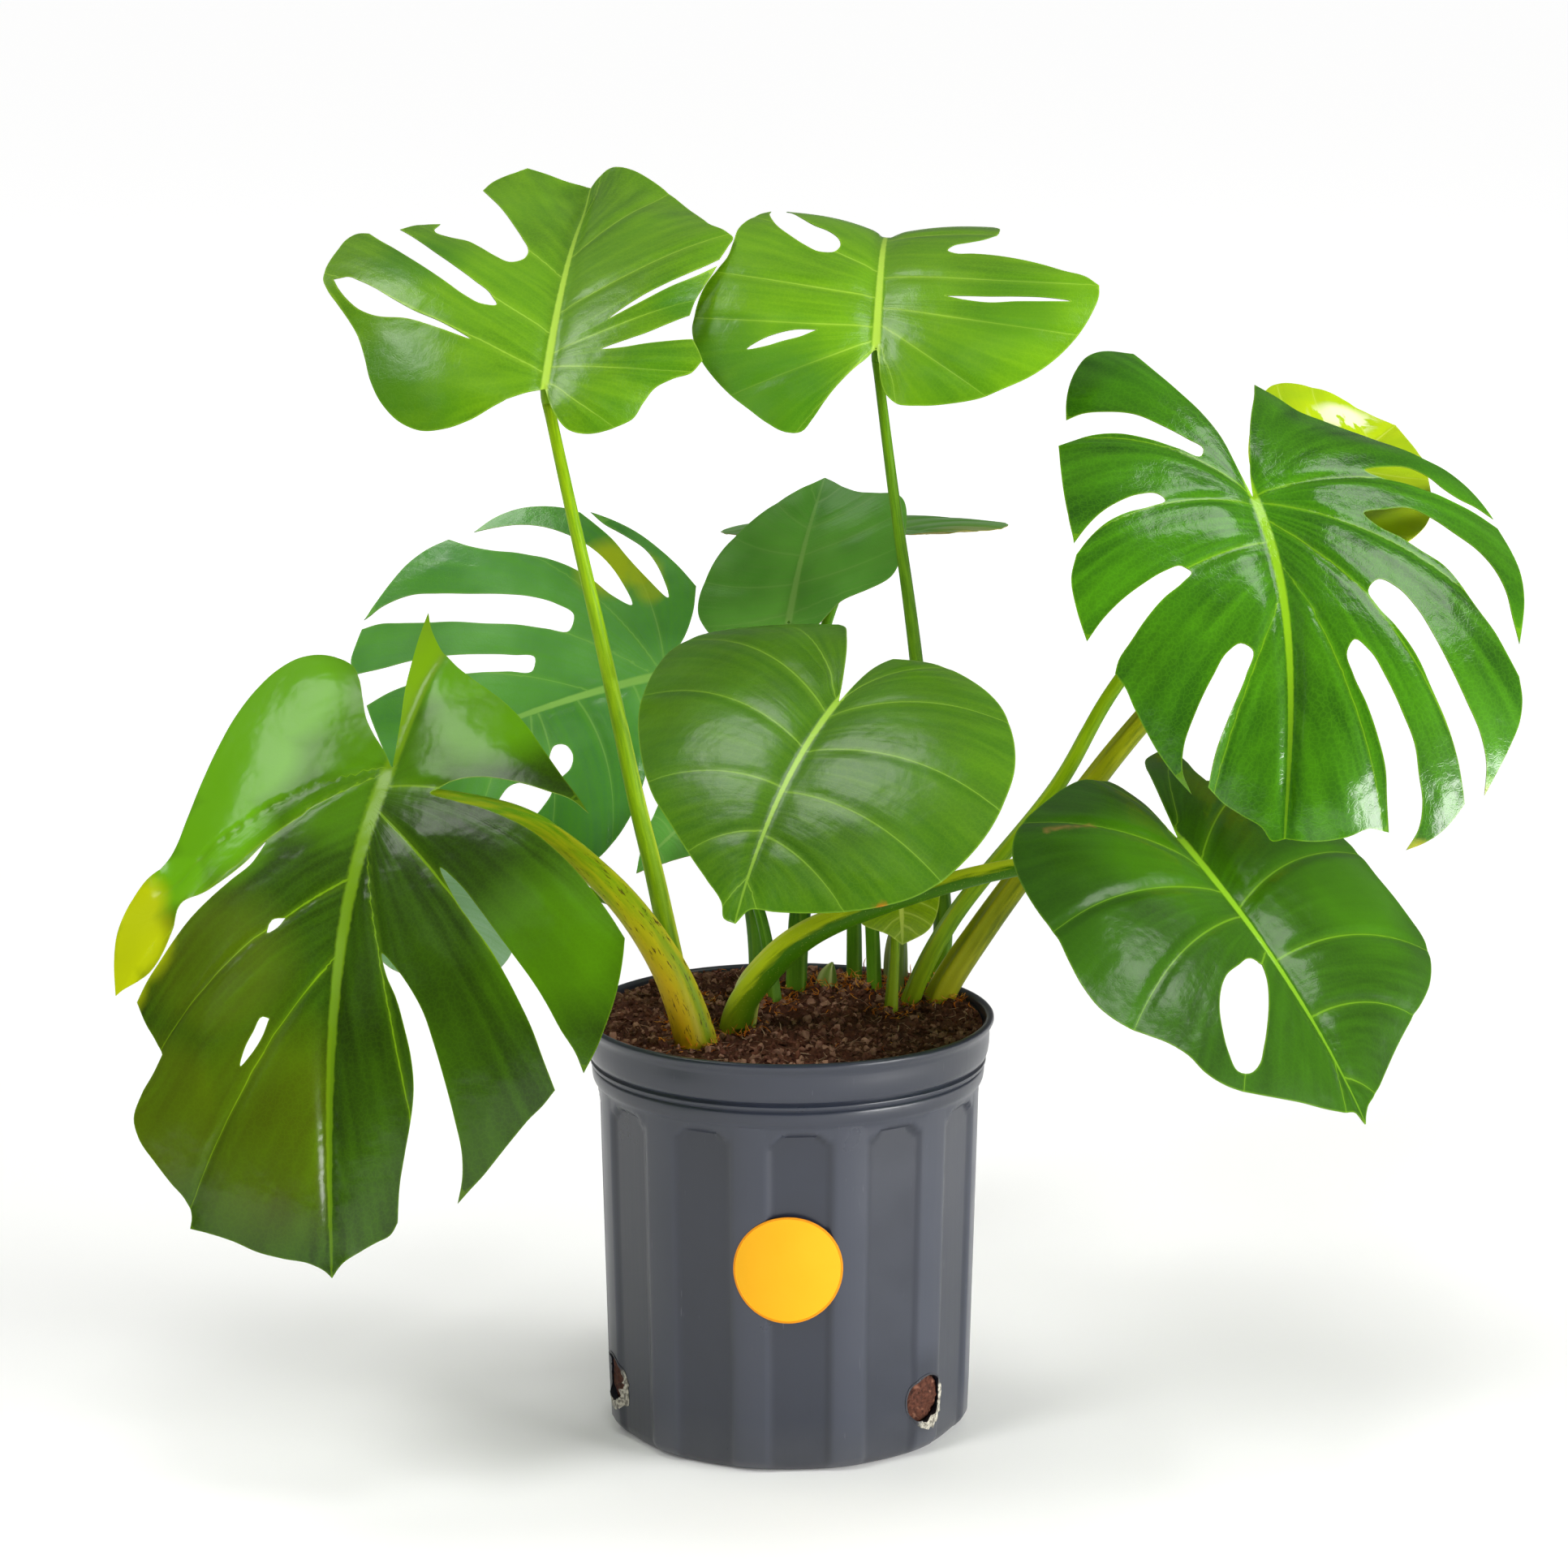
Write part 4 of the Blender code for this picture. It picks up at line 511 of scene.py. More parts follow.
def layHalf(leaf, side, sign, places, faces):  # points in space, and q, r and pace, of flat places
    flat, data, triangles = veinNet(leaf, side, sign)
    depth = data[:, 3] * 1e-6  # where the net overlaps itself, its first layer is read
    net = np.column_stack([flat, depth]).tolist()
    tree = BVHTree.FromPolygons(net, triangles.tolist(), all_triangles=True)
    found = [tree.find_nearest(Vector((x, y, 0))) for x, y in places.tolist()]
    near = np.array([(f[0].x, f[0].y) for f in found])
    corners = triangles[[f[2] for f in found]]
    a, b, c = (flat[corners[:, n]] for n in range(3))
    ab, ac, ap = b - a, c - a, near - a
    whole = flatCross(ab, ac)
    v = flatCross(ap, ac) / whole
    w = flatCross(ab, ap) / whole
    read = (data[corners[:, 0]] * (1 - v - w)[:, None] + data[corners[:, 1]] * v[:, None]
            + data[corners[:, 2]] * w[:, None])
    rib, ribPoints, ribSide, ribAhead, _ = midribOf(leaf)
    read[:, :3] += (readAlong(places[:, 1], rib, ribSide) * (places[:, :1] - near[:, :1])
                    + readAlong(places[:, 1], rib, ribAhead) * (places[:, 1:] - near[:, 1:]))
    onRib = (places[:, 0] == 0) & (places[:, 1] >= 0)
    y = places[onRib, 1]
    beyond = np.maximum(0, y - rib[-1])[:, None]
    read[onRib, :3] = readAlong(y, rib, ribPoints) + readAlong(y, rib, ribAhead) * beyond
    return settle(places, read, faces, onRib | (np.linalg.norm(places - near, axis=1) > 0.5 * mm), onRib)


def settle(places, read, faces, loose, fixed):  # evens out uneasy places with planes through neighbours
    ends = faceSides(faces)
    tree = KDTree(len(places))
    for k, (x, y) in enumerate(places.tolist()):
        tree.insert((x, y, 0), k)
    tree.balance()
    reach = 11 * mm  # how far a plane looks for its neighbours
    flat = np.linalg.norm(places[ends[:, 0]] - places[ends[:, 1]], axis=1)
    loose = loose & ~fixed
    for _ in range(4):
        long = np.linalg.norm(read[ends[:, 0], :3] - read[ends[:, 1], :3], axis=1) / flat
        uneasy = loose.copy()
        uneasy[ends[(long > 1.12) | (long < 0.87)]] = True  # stretched or squeezed by an eighth
        for _ in range(3):
            uneasy[ends[uneasy[ends].any(1)]] = True
        evened = read.copy()
        for k in np.flatnonzero(uneasy & ~fixed):
            found = tree.find_range((*places[k], 0), reach)
            near = [f[1] for f in found]
            weight = (1 - (np.array([f[2] for f in found]) / reach)**2)**2
            rows = np.column_stack([np.ones(len(near)), places[near] - places[k]])
            sums = rows.T * weight
            evened[k] = np.linalg.lstsq(sums @ rows, sums @ read[near], rcond=None)[0][0]
        read = evened
    return read[:, :3], read[:, 3:]


def trace(knots, step):  # a smooth curve through flat knots
    knots = np.asarray(knots, float)
    chords = np.linalg.norm(np.diff(knots, axis=0), axis=1)
    slopes = np.diff(knots, axis=0) / chords[:, None]
    tangents = np.concatenate([slopes[:1], slopes, slopes[-1:]])
    weights = np.concatenate([chords[:1], chords, chords[-1:]])[:, None]
    tangents = (tangents[1:] * weights[:-1] + tangents[:-1] * weights[1:]) / (weights[1:] + weights[:-1])
    traced = [tuple(knots[0])]
    for k, chord in enumerate(chords):
        cells = max(1, round(chord / step))
        for t in (np.arange(cells) + 1) / cells:
            atStart, startSlope, atEnd, endSlope = curveWeights(t)
            traced.append(tuple(atStart * knots[k] + startSlope * chord * tangents[k] + atEnd
                                * knots[k + 1] + endSlope * chord * tangents[k + 1]))
    return traced


def halfLoops(leaf, side, step):  # the outline of half a blade and its holes
    strokes = side.get("edge") or (side["margin"][:-1],)
    tip = leaf.get("tip", leaf["length"])
    outline = [(0, 0)]
    for k, stroke in enumerate(strokes):
        knots = [outline[-1], *stroke]
        if k == len(strokes) - 1:
            knots.append((0, tip))
        outline += trace(knots, step)[1:]
    cells = round(tip / step)
    outline += [(0, tip * (cells - n) / cells) for n in range(1, cells)]
    holes = [trace([*hole, hole[0]], step)[:-1] for hole in side.get("holes", ())]
    return [np.array(loop) for loop in (outline, *holes)]


def insideLoops(points, loops):
    found = np.zeros(len(points), bool)
    x, y = points[:, 0], points[:, 1]
    for loop in loops:
        for a, b in zip(loop, np.roll(loop, -1, axis=0)):
            if a[1] != b[1]:
                found ^= ((a[1] > y) != (b[1] > y)) & (x < a[0] + (y - a[1])
                                                       * (b[0] - a[0]) / (b[1] - a[1]))
    return found


def edgeDistance(points, loops, ribToo):  # mm to the nearest margin, which leaves the midrib out
    nearest = np.full(len(points), 1e3)
    for loop in loops:
        for a, b in zip(loop, np.roll(loop, -1, axis=0)):
            if not ribToo and a[0] == 0 and b[0] == 0 and a[1] >= 0:
                continue
            run = b - a
            t = np.clip((points - a) @ run / max(run @ run, 1e-12), 0, 1)
            gap = points - a - t[:, None] * run
            nearest = np.minimum(nearest, np.hypot(gap[:, 0], gap[:, 1]))
    return nearest


def fillHalf(loops, cell):  # flat points and triangles inside the outline, finer beside the midrib
    low, high = loops[0].min(0), loops[0].max(0)
    rows = np.arange(low[1], high[1], cell * 0.866)
    grid = np.array([(x + cell / 2 * (k % 2), y) for k,
                     y in enumerate(rows) for x in np.arange(low[0] - cell, high[0] + cell, cell)])
    grid = grid[(grid[:, 0] > 4.4) | (grid[:, 1] < 0)]
    columns = (1.2, 2.6, 4.0)
    beside = np.array([(x, y + (n % 2)) for n, x in enumerate(columns) for y in np.arange(1, high[1], 2)])
    grid = np.concatenate([grid, beside])
    grid = grid[insideLoops(grid, loops)]
    gap = edgeDistance(grid, loops, True)
    keep = np.where(grid[:, 0] < 4.2, gap > 0.9, gap > 0.55 * cell)
    grid = grid[keep]
    points, edges = [], []
    for loop in loops:
        first = len(points)
        points += [tuple(p) for p in loop]
        edges += [(first + k, first + (k + 1) % len(loop)) for k in range(len(loop))]
    points += [tuple(p) for p in grid]
    filled = delaunay_2d_cdt([Vector(p) for p in points], edges, [], 0, 1e-5)
    flat = np.array([tuple(p) for p in filled[0]])
    faces = np.array([tuple(f) for f in filled[2]])
    a, b, c = (flat[faces[:, n]] for n in range(3))
    turn = flatCross(b - a, c - a)
    kept = insideLoops((a + b + c) / 3, loops) & (np.abs(turn) > 1e-6)
    faces = np.where((turn > 0)[:, None], faces, faces[:, ::-1])[kept]
    used, faces = np.unique(faces, return_inverse=True)
    return flat[used], faces.reshape(-1, 3)


# What a user would change on all blades; mm unless noted
bladeLook = dict(
    cell=3.2, edgeStep=2.4, thick=0.9, rimThick=0.5, quilt=1.5, quiltFade=9, ribHeight=1.3, ribWidth=2.2,
    valley=1.6, valleyWidth=6.5, underRib=2.6, underVein=0.9, wave=0.9, waveLength=46, even=4)
# What each corner of a blade's faces knows, for its shape and its materials
bladeValues = ("phase", "spacing", "rib", "edge", "reach", "tint", "fresh", "along", "across")


def veinPhase(leaf, side, q):  # whole numbers on the lateral veins, which run to these places
    last = len(side["margin"]) - 1
    places = [v[0] for v in side.get("veins", ())]
    places = places if len(places) > 2 else np.linspace(0.9, last - 0.6, 6)
    places = np.array([-0.9, *places, last + 0.9])
    gap = np.interp(q, (places[1:] + places[:-1]) / 2, np.diff(places))
    return np.interp(q, places, range(len(places))), gap


def ripple(points):  # slow waves in a blade, from -1 to 1
    x, y, z = (points / (bladeLook["waveLength"] * mm)).T
    return (np.sin(2.1 * x + 1.7 * np.sin(1.3 * y + 0.5) + z)
            + np.sin(2.3 * y + 1.4 * np.sin(1.9 * z + 1.1) - x)) / 2


def spots(flat, rounds):  # soft round spots (u, v, radius, strength) on a flat half
    found = np.zeros(len(flat))
    for u, v, radius, strength in rounds:
        far = np.hypot(flat[:, 0] - u, flat[:, 1] - v) / radius
        found = np.maximum(found, strength * np.clip(2 * (1 - far), 0, 1))
    return found


def bladeArrays(node, leaf):
    points, faces, columns = [], [], []
    for key, sign in (("right", 1), ("left", -1)):
        side = leaf[key]
        loops = halfLoops(leaf, side, bladeLook["edgeStep"])
        flat, half = fillHalf(loops, bladeLook["cell"])
        flat[np.abs(flat[:, 0]) < 1e-4, 0] = 0
        laid, read = layHalf(leaf, side, sign, flat * np.array([sign, 1]) * mm, half)
        q, r, pace = read.T
        phase, gap = veinPhase(leaf, side, q)
        edge = edgeDistance(flat, loops, False)
        tint, fresh = (spots(flat, rounds.get((node, key), ())) for rounds in (agedAndShadeSpots, freshSpots))
        columns.append(np.stack([phase, gap * pace, flat[:, 0], edge, r, tint, fresh, flat[:, 1],
                                 sign * flat[:, 0]], -1))
        first = sum(len(p) for p in points)
        points.append(laid)
        faces.append((half if sign > 0 else half[:, ::-1]) + first)
    return np.concatenate(points), np.concatenate(faces), np.concatenate(columns)


def vertexNormals(points, faces):
    a, b, c = (points[faces[:, n]] for n in range(3))
    cross = np.cross(b - a, c - a)
    normals = np.zeros_like(points)
    for n in range(3):
        np.add.at(normals, faces[:, n], cross)
    return normals / np.maximum(np.linalg.norm(normals, axis=1), 1e-15)[:, None]


def fade(value, low, high):
    t = np.clip((value - low) / (high - low), 0, 1)
    return t * t * (3 - 2 * t)


def evened(points, faces, edge, rounds):  # takes small creases out of a blade, away from its outline
    pairs = faceSides(faces)
    share = 0.5 * fade(edge, 1.5, 6)[:, None]
    many = np.maximum(np.bincount(pairs.ravel(), minlength=len(points)), 1)[:, None]
    for _ in range(rounds):
        total = np.zeros_like(points)
        np.add.at(total, pairs[:, 0], points[pairs[:, 1]])
        np.add.at(total, pairs[:, 1], points[pairs[:, 0]])
        points = points + share * (total / many - points)
    return points


def makeBlade(node, leaf, own, top, under):
    points, faces, columns = bladeArrays(node, leaf)
    corner = columns[faces]  # each corner keeps its own half's values
    # The halves share the points of the midrib
    keys = np.round(points / (0.02 * mm)).astype(np.int64)
    onRib = columns[:, 2] == 0
    keys[~onRib] = np.stack([np.flatnonzero(~onRib) + 10**9] * 3, -1)
    _, chosen, number = np.unique(keys, axis=0, return_index=True, return_inverse=True)
    number = number.reshape(-1)
    points, columns, faces = points[chosen], columns[chosen], number[faces]
    phase, spacing, rib, edge, r, _, _, along, _ = columns.T
    look = bladeLook
    points = evened(points, faces, edge, own.get("even", look["even"]))
    normals = vertexNormals(points, faces)
    length = leaf["length"]
    taper = np.clip(1.15 - along / length, 0.15, 1) * np.clip(length / 200, 0.4, 1)
    toVein = np.abs(phase - np.round(phase)) * spacing
    shown = fade(rib, 1, 7) * fade(r, 0.02, 0.2)
    quilt = (own["quilt"] * look["quilt"] * np.clip(spacing / 26, 0.2, 1.3) * shown
             * (0.4 + 0.6 * fade(edge, 0, 35)) * (1 - np.exp(-(toVein / look["quiltFade"] * 2)**2)))
    ribWidth = look["ribWidth"] * (1 + (own["rib"] - 1) * np.clip(1 - along / length, 0, 1))
    ridge = look["ribHeight"] * taper * np.exp(-(rib / ribWidth)**2) * (along > 0)
    valley = look["valley"] * taper * np.exp(-(rib / look["valleyWidth"])**2)
    wave = look["wave"] * ripple(points) * fade(edge, 40, 0)
    middle = points + normals * ((quilt + ridge - valley + wave) * mm)[:, None]
    normals = vertexNormals(middle, faces)
    upper = middle + normals * (look["rimThick"] / 2 * mm)
    thick = look["rimThick"] / 2 + (look["thick"] - look["rimThick"]) * fade(edge, 0, 6)
    below = (thick + look["underRib"] * taper * np.exp(-(rib / 2.4)**2) * (along > 0) + look["underVein"]
             * np.exp(-(toVein / 1.6)**2) * shown * (1.1 - r))
    lower = middle - normals * (below * mm)[:, None]
    count = len(points)
    # Open edges get a rim
    sides = faceSides(faces)
    back = {(b, a) for a, b in sides.tolist()}
    rim = np.array([k for k, (a, b) in enumerate(sides.tolist()) if (a, b) not in back])
    ring = sides[rim]
    where = (rim % len(faces), rim // len(faces))
    cornerA = corner[where[0], where[1]]
    cornerB = corner[where[0], (where[1] + 1) % 3]
    walls = np.stack([ring[:, 1], ring[:, 0], ring[:, 0] + count, ring[:, 1] + count], -1)
    polygons = faces.tolist() + (faces[:, ::-1] + count).tolist() + walls.tolist()
    blade = newPiece(node.replace("leaf", "blade"), np.concatenate([upper, lower]), polygons, (top, under))
    mesh = blade.data
    values = np.concatenate([corner.reshape(-1, 9), corner[:, ::-1].reshape(-1, 9),
                             np.stack([cornerB, cornerA, cornerA, cornerB], 1).reshape(-1, 9)])
    for k, name in enumerate(bladeValues):
        attribute = mesh.attributes.new(name, "FLOAT", "CORNER")
        attribute.data.foreach_set("value", values[:, k].astype(np.float32))
    lowerFace = np.zeros(len(polygons), np.int32)
    lowerFace[len(faces):] = 1
    mesh.polygons.foreach_set("material_index", lowerFace)
    sharp = mesh.attributes.new("sharp_edge", "BOOLEAN", "EDGE")
    index = {tuple(sorted(e)): k for k, e in enumerate(mesh.edge_keys)}
    flags = np.zeros(len(mesh.edges), bool)
    for a, b in ring.tolist():
        flags[index[tuple(sorted((a, b)))]] = True
        flags[index[tuple(sorted((a + count, b + count)))]] = True
    sharp.data.foreach_set("value", flags)
    mesh.update()
    finishPiece(blade, "leaf", node)
    return len(polygons)


def vein(material, read, width, colour):  # pale lines on the laterals and the midrib, as one factor
    offVein = addNode(material, "Math", {0: read["phase"], 1: 0.5}, operation="PINGPONG")
    offVein = addNode(material, "Math", {0: offVein, 1: read["spacing"]}, operation="MULTIPLY")
    slim = addNode(material, "MapRange", {0: read["reach"], 1: 0, 2: 1.0, 3: 1.1, 4: 0.3})
    near = addNode(material, "Math", {0: offVein, 1: slim}, operation="DIVIDE")
    line = addNode(material, "MapRange",
                   {0: near, 1: 0.3 * width, 2: 1.2 * width, 3: colour["line"], 4: 0},
                   interpolation_type="SMOOTHSTEP")
    band = addNode(material, "MapRange",
                   {0: near, 1: 0.5 * width, 2: 5 * width, 3: colour["line"] * 0.2, 4: 0},
                   interpolation_type="SMOOTHSTEP")
    lines = addNode(material, "Math", {0: line, 1: band}, operation="MAXIMUM")
    # The midrib narrows from about 5 mm at the stem to 1 mm at the tip
    ribWidth = addNode(material, "MapRange",
                       {0: read["along"], 1: 0, 2: colour["length"], 3: colour["rib"], 4: 0.25})
    ribNear = addNode(material, "Math", {0: read["rib"], 1: ribWidth}, operation="DIVIDE")
    ribLine = addNode(material, "MapRange", {0: ribNear, 1: 1.1, 2: 2.7, 3: colour["ribLine"], 4: 0},
                      interpolation_type="SMOOTHSTEP")
    length = colour["length"]
    fading = addNode(material, "MapRange",
                     {0: read["along"], 1: 0.4 * length, 2: 0.95 * length, 3: 1, 4: 0.4})
    paleRib = addNode(material, "Math", {0: ribLine, 1: fading}, operation="MULTIPLY")
    return addNode(material, "Math", {0: lines, 1: paleRib}, operation="MAXIMUM")


def leafTop(name, colours):
    # Upper side of a monstera leaf: a waxy cuticle over saturated green, which mirrors
    # soft lights broadly and shows pale veins and a faint net of small ones
    material = newMaterial(name, IOR=1.45, Specular_IOR_Level=0.06, Coat_Weight=colours["wax"],
                           Coat_Roughness=colours["gloss"], Coat_IOR=1.45)
    read = {key: addNode(material, "Attribute", attribute_name=key).outputs["Fac"] for key in bladeValues}
    place = addNode(material, "TexCoord").outputs["Object"]
    cloud = addNode(material, "TexNoise", {"Vector": place, "Scale": 12, "Detail": 3, "Roughness": 0.55})
    patch = addNode(material, "MapRange", {0: cloud, 1: 0.35, 2: 0.65})
    base = addNode(material, "Mix",
                   {0: patch, 6: hexColour(colours["deep"]), 7: hexColour(colours["base"])},
                   data_type="RGBA")
    # Fine side veins run beside the laterals, 2.5 mm apart
    stripes = addNode(material, "CombineXYZ",
                      {0: addNode(material, "Math", {0: read["phase"], 1: 9.0}, operation="MULTIPLY"),
                       1: addNode(material, "Math", {0: read["reach"], 1: 1.6}, operation="MULTIPLY")})
    fine = addNode(material, "TexNoise", {"Vector": stripes, "Scale": 1, "Detail": 2})
    fineTone = addNode(material, "MapRange", {0: fine, 1: 0.35, 2: 0.7, 3: 0.0, 4: colours["streak"]})
    # The smallest veins close a net with cells of about 3 mm
    flatPlace = addNode(material, "CombineXYZ", {0: read["across"], 1: read["along"]})
    cells = addNode(material, "TexVoronoi", {"Vector": flatPlace, "Scale": 0.33},
                    feature="DISTANCE_TO_EDGE")
    netLine = addNode(material, "MapRange", {0: cells, 1: 0.02, 2: 0.12, 3: colours["streak"] * 0.4, 4: 0})
    tone = addNode(material, "Math", {0: fineTone, 1: netLine}, operation="ADD")
    veins = vein(material, read, colours["veinWidth"], colours)
    rim = addNode(material, "MapRange", {0: read["edge"], 1: 0.3, 2: 1.2, 3: 0.28, 4: 0},
                  interpolation_type="SMOOTHSTEP")
    # The tint layer lays age marks, and on the two upper leaves painted shade
    layers = [(tone, "fresh"), (read["fresh"], "fresh"), (veins, "vein"), (rim, "vein"),
              (read["tint"], "agedAndShade")]
    if "marble" in colours:  # creamy sectors of a variegated young leaf, in streaks along its veins
        streaks = addNode(material, "CombineXYZ",
                          {0: addNode(material, "Math", {0: read["phase"], 1: 1.1}, operation="MULTIPLY"),
                           1: read["reach"]})
        sectors = addNode(material, "TexNoise", {"Vector": streaks, "Scale": 2.2, "Detail": 5})
        share = addNode(material, "MapRange", {0: sectors, 1: 0.46, 2: 0.5})
        creamy = addNode(material, "Math", {0: share, 1: read["fresh"]}, operation="MULTIPLY")
        layers.append((creamy, "marble"))
    for share, key in layers:
        base = addNode(material, "Mix", {0: share, 6: base, 7: hexColour(colours[key])}, data_type="RGBA")
    rough = addNode(material, "MapRange",
                    {0: cloud, 1: 0.3, 2: 0.7, 3: colours["rough"] - 0.05, 4: colours["rough"] + 0.07})
    relief = addNode(material, "Math", {0: fine, 1: netLine}, operation="SUBTRACT")
    bump = addNode(material, "Bump", {"Strength": 0.3, "Distance": 0.0006, "Height": relief})
    # The wax film follows small dimples of the blade, about 18 mm across, which breaks up its sheen
    swell = addNode(material, "TexNoise", {"Vector": place, "Scale": 55, "Detail": 2})
    dimples = addNode(material, "Bump",
                      {"Strength": 0.5, "Distance": 0.002, "Height": swell, "Normal": bump})
    setShader(material, Base_Color=base, Roughness=rough, Normal=bump, Coat_Normal=dimples)
    return material


def leafUnder(name, colours):
    # Underside of a leaf: no wax shine, paler and matt, with raised veins
    material = newMaterial(name, Roughness=0.55, IOR=1.45, Specular_IOR_Level=0.2,
                           Subsurface_Weight=colours.get("glow", 0), Subsurface_Scale=0.02,
                           Subsurface_Radius=(0.9, 1.0, 0.1))
    read = {key: addNode(material, "Attribute", attribute_name=key).outputs["Fac"]
            for key in ("phase", "spacing", "rib", "reach", "tint", "along")}
    place = addNode(material, "TexCoord").outputs["Object"]
    cloud = addNode(material, "TexNoise", {"Vector": place, "Scale": 18, "Detail": 4})
    patch = addNode(material, "MapRange", {0: cloud, 1: 0.35, 2: 0.65})
    base = addNode(material, "Mix",
                   {0: patch, 6: hexColour(colours["underDeep"]), 7: hexColour(colours["under"])},
                   data_type="RGBA")
    veins = vein(material, read, 1.4, {**colours, "line": 0.5, "ribLine": 0.9})
    # The tint layer lays age marks, and on the two upper leaves painted shade
    for share, key in ((veins, "vein"), (read["tint"], "agedAndShade")):
        base = addNode(material, "Mix", {0: share, 6: base, 7: hexColour(colours[key])}, data_type="RGBA")
    setShader(material, Base_Color=base)
    return material


# What a user would change on one kind of leaf; quilt and rib are shares of bladeLook's
leafKinds = {
    # The bright kind's aged colour is a dark green, painted shade for the lower lobes of the upper leaves
    "bright": dict(base="#548602", deep="#447002", vein="#a8cc40", fresh="#74a40a", agedAndShade="#24620a",
                   under="#5c8a14", underDeep="#467010", rough=0.46, wax=1.0, gloss=0.27, line=0.4,
                   ribLine=0.9, veinWidth=0.9, quilt=0.7, rib=1.25, streak=0.35),
    "dark": dict(base="#387802", deep="#245202", vein="#82b41c", fresh="#559c06", agedAndShade="#b9b81c",
                 under="#6a8a2c", underDeep="#52721e", rough=0.42, wax=1.0, gloss=0.17, line=0.42,
                 ribLine=0.9, veinWidth=1.0, quilt=1.0, rib=1.5, streak=0.3),
    "dull": dict(base="#64a840", deep="#4c8a30", vein="#8cb85a", fresh="#6a9a44", agedAndShade="#8f8c34",
                 under="#8f9034", underDeep="#747a24", rough=0.5, wax=0.4, gloss=0.3, line=0.32,
                 ribLine=0.8, veinWidth=1.0, quilt=0.7, rib=1.2, streak=0.3),
    "yellow": dict(base="#a2c008", deep="#7cac06", vein="#d0dc60", fresh="#a2c008", agedAndShade="#d2ce2a",
                   under="#b4ba10", underDeep="#98a60a", rough=0.44, wax=0.5, gloss=0.26, line=0.35,
                   ribLine=0.8, veinWidth=1.0, quilt=0.7, rib=1.2, streak=0.3)}

leafLooks = {
    "leaf_upper_left": ("bright", {}),
    "leaf_upper_middle": ("bright", dict(base="#5a8e02", deep="#487602")),
    "leaf_right": ("dark", dict(base="#2c6002", deep="#1b4202", vein="#7eac12", rib=1.7, agedAndShade="#a8a01c",
                                quilt=1.3)),
    "leaf_lower_right": ("dark", dict(base="#2b5402", deep="#214202", vein="#7cac1e", agedAndShade="#8a6a34", wax=0.9,
                                      gloss=0.22, streak=0.2, fresh="#437c04")),
    "leaf_front": ("bright", dict(base="#407204", deep="#345e04", vein="#a0cc3c", line=0.36, wax=0.9,
                                  gloss=0.29, quilt=0.5, agedAndShade="#c06a1c", streak=0.2)),
    # Painted light: this leaf's greens are lighter than its own colour, against the shade the leaves above
    # throw on it
    "leaf_back_middle": ("dull", dict(base="#74b844", deep="#569632")),
    # Painted sheen: this leaf's greens are paler and whiter than its own colour, standing in for a sheen
    "leaf_left_back": ("dark", dict(base="#62a04c", deep="#458036", vein="#8aba54", wax=1.0, gloss=0.2,
                                    agedAndShade="#a4b41c")),
    "leaf_front_left": ("dark", dict(base="#284400", deep="#1c3000", vein="#6e960c", line=0.85, veinWidth=1.3,
                                     wax=0.6, gloss=0.22, streak=0.12, even=30, fresh="#62a200",
                                     agedAndShade="#b0bc00", quilt=1.3, rib=2.4, under="#88a444",
                                     underDeep="#66902c")),
    "leaf_right_young": ("yellow", dict(marble="#e6eab8", glow=0.5, wax=0.2, base="#b0c80a", deep="#88b006",
                                        under="#b4c010")),
    "leaf_hidden_middle": ("dull", {}),
    "leaf_hidden_left": ("dull", dict(base="#96b896", deep="#7ea27c", vein="#a4c09c")),
    "leaf_back": ("dull", dict(base="#588e30", deep="#467c24", under="#8f8a2c", underDeep="#7c7426")),
    "leaf_small": ("yellow", dict(base="#7f9c0c", deep="#648608"))}

# Patches of another tint, as (out from the midrib, along it, radius, strength); mm
freshSpots = {
    ("leaf_front_left", "right"): ((95, -40, 75, 0.9), (95, 15, 60, 0.9), (95, 62, 48, 0.9), (112, 98, 30, 1),
                                   (35, -20, 60, 0.45), (30, 30, 45, 0.3)),
    ("leaf_front_left", "left"): ((25, -85, 60, 0.7), (55, -45, 60, 0.6), (18, -10, 45, 0.35),
                                  (140, 120, 60, 0.3)),
    ("leaf_lower_right", "left"): ((95, 70, 60, 0.5),),
    ("leaf_lower_right", "right"): ((30, 20, 55, 0.4),),
    ("leaf_right_young", "left"): ((32, 132, 24, 1),)}
agedAndShadeSpots = {
    ("leaf_front_left", "right"): ((130, 140, 30, 1), (136, 118, 26, 1), (141, 164, 26, 1),
                                   (75, 150, 60, 0.08), (35, 240, 80, 0.08), (100, 235, 60, 0.1)),
    ("leaf_front", "left"): ((89, 148, 6, 0.9),),
    ("leaf_right", "left"): ((80, 241, 9, 0.7), (123, 209, 8, 0.4)),
    ("leaf_lower_right", "right"): ((87, -24, 3, 0.6), (82, -24, 3, 0.6), (77, -23, 3, 0.6),
                                    (72, -22, 3, 0.6), (67, -21, 3, 0.6), (62, -20, 3, 0.6),
                                    (57, -19, 3, 0.6)),
    # Painted shade: dark green patches on the lower lobes of the two upper leaves, where they face down
    ("leaf_upper_middle", "left"): ((62, -42, 52, 0.55), (96, -14, 40, 0.45), (52, -2, 22, 0.3)),
    ("leaf_upper_middle", "right"): ((85, 26, 40, 0.35), (50, -30, 36, 0.25)),
    ("leaf_upper_left", "left"): ((100, 10, 42, 0.5), (92, 108, 36, 0.5), (80, -16, 40, 0.3)),
    ("leaf_upper_left", "right"): ((66, 20, 26, 0.35), (80, 78, 26, 0.45), (50, -28, 26, 0.3)),
    ("leaf_left_back", "right"): ((80, 22, 24, 0.9), (72, 2, 16, 0.8), (58, -2, 12, 0.6)),
    ("leaf_back", "left"): ((40, 120, 50, 0.5),)}

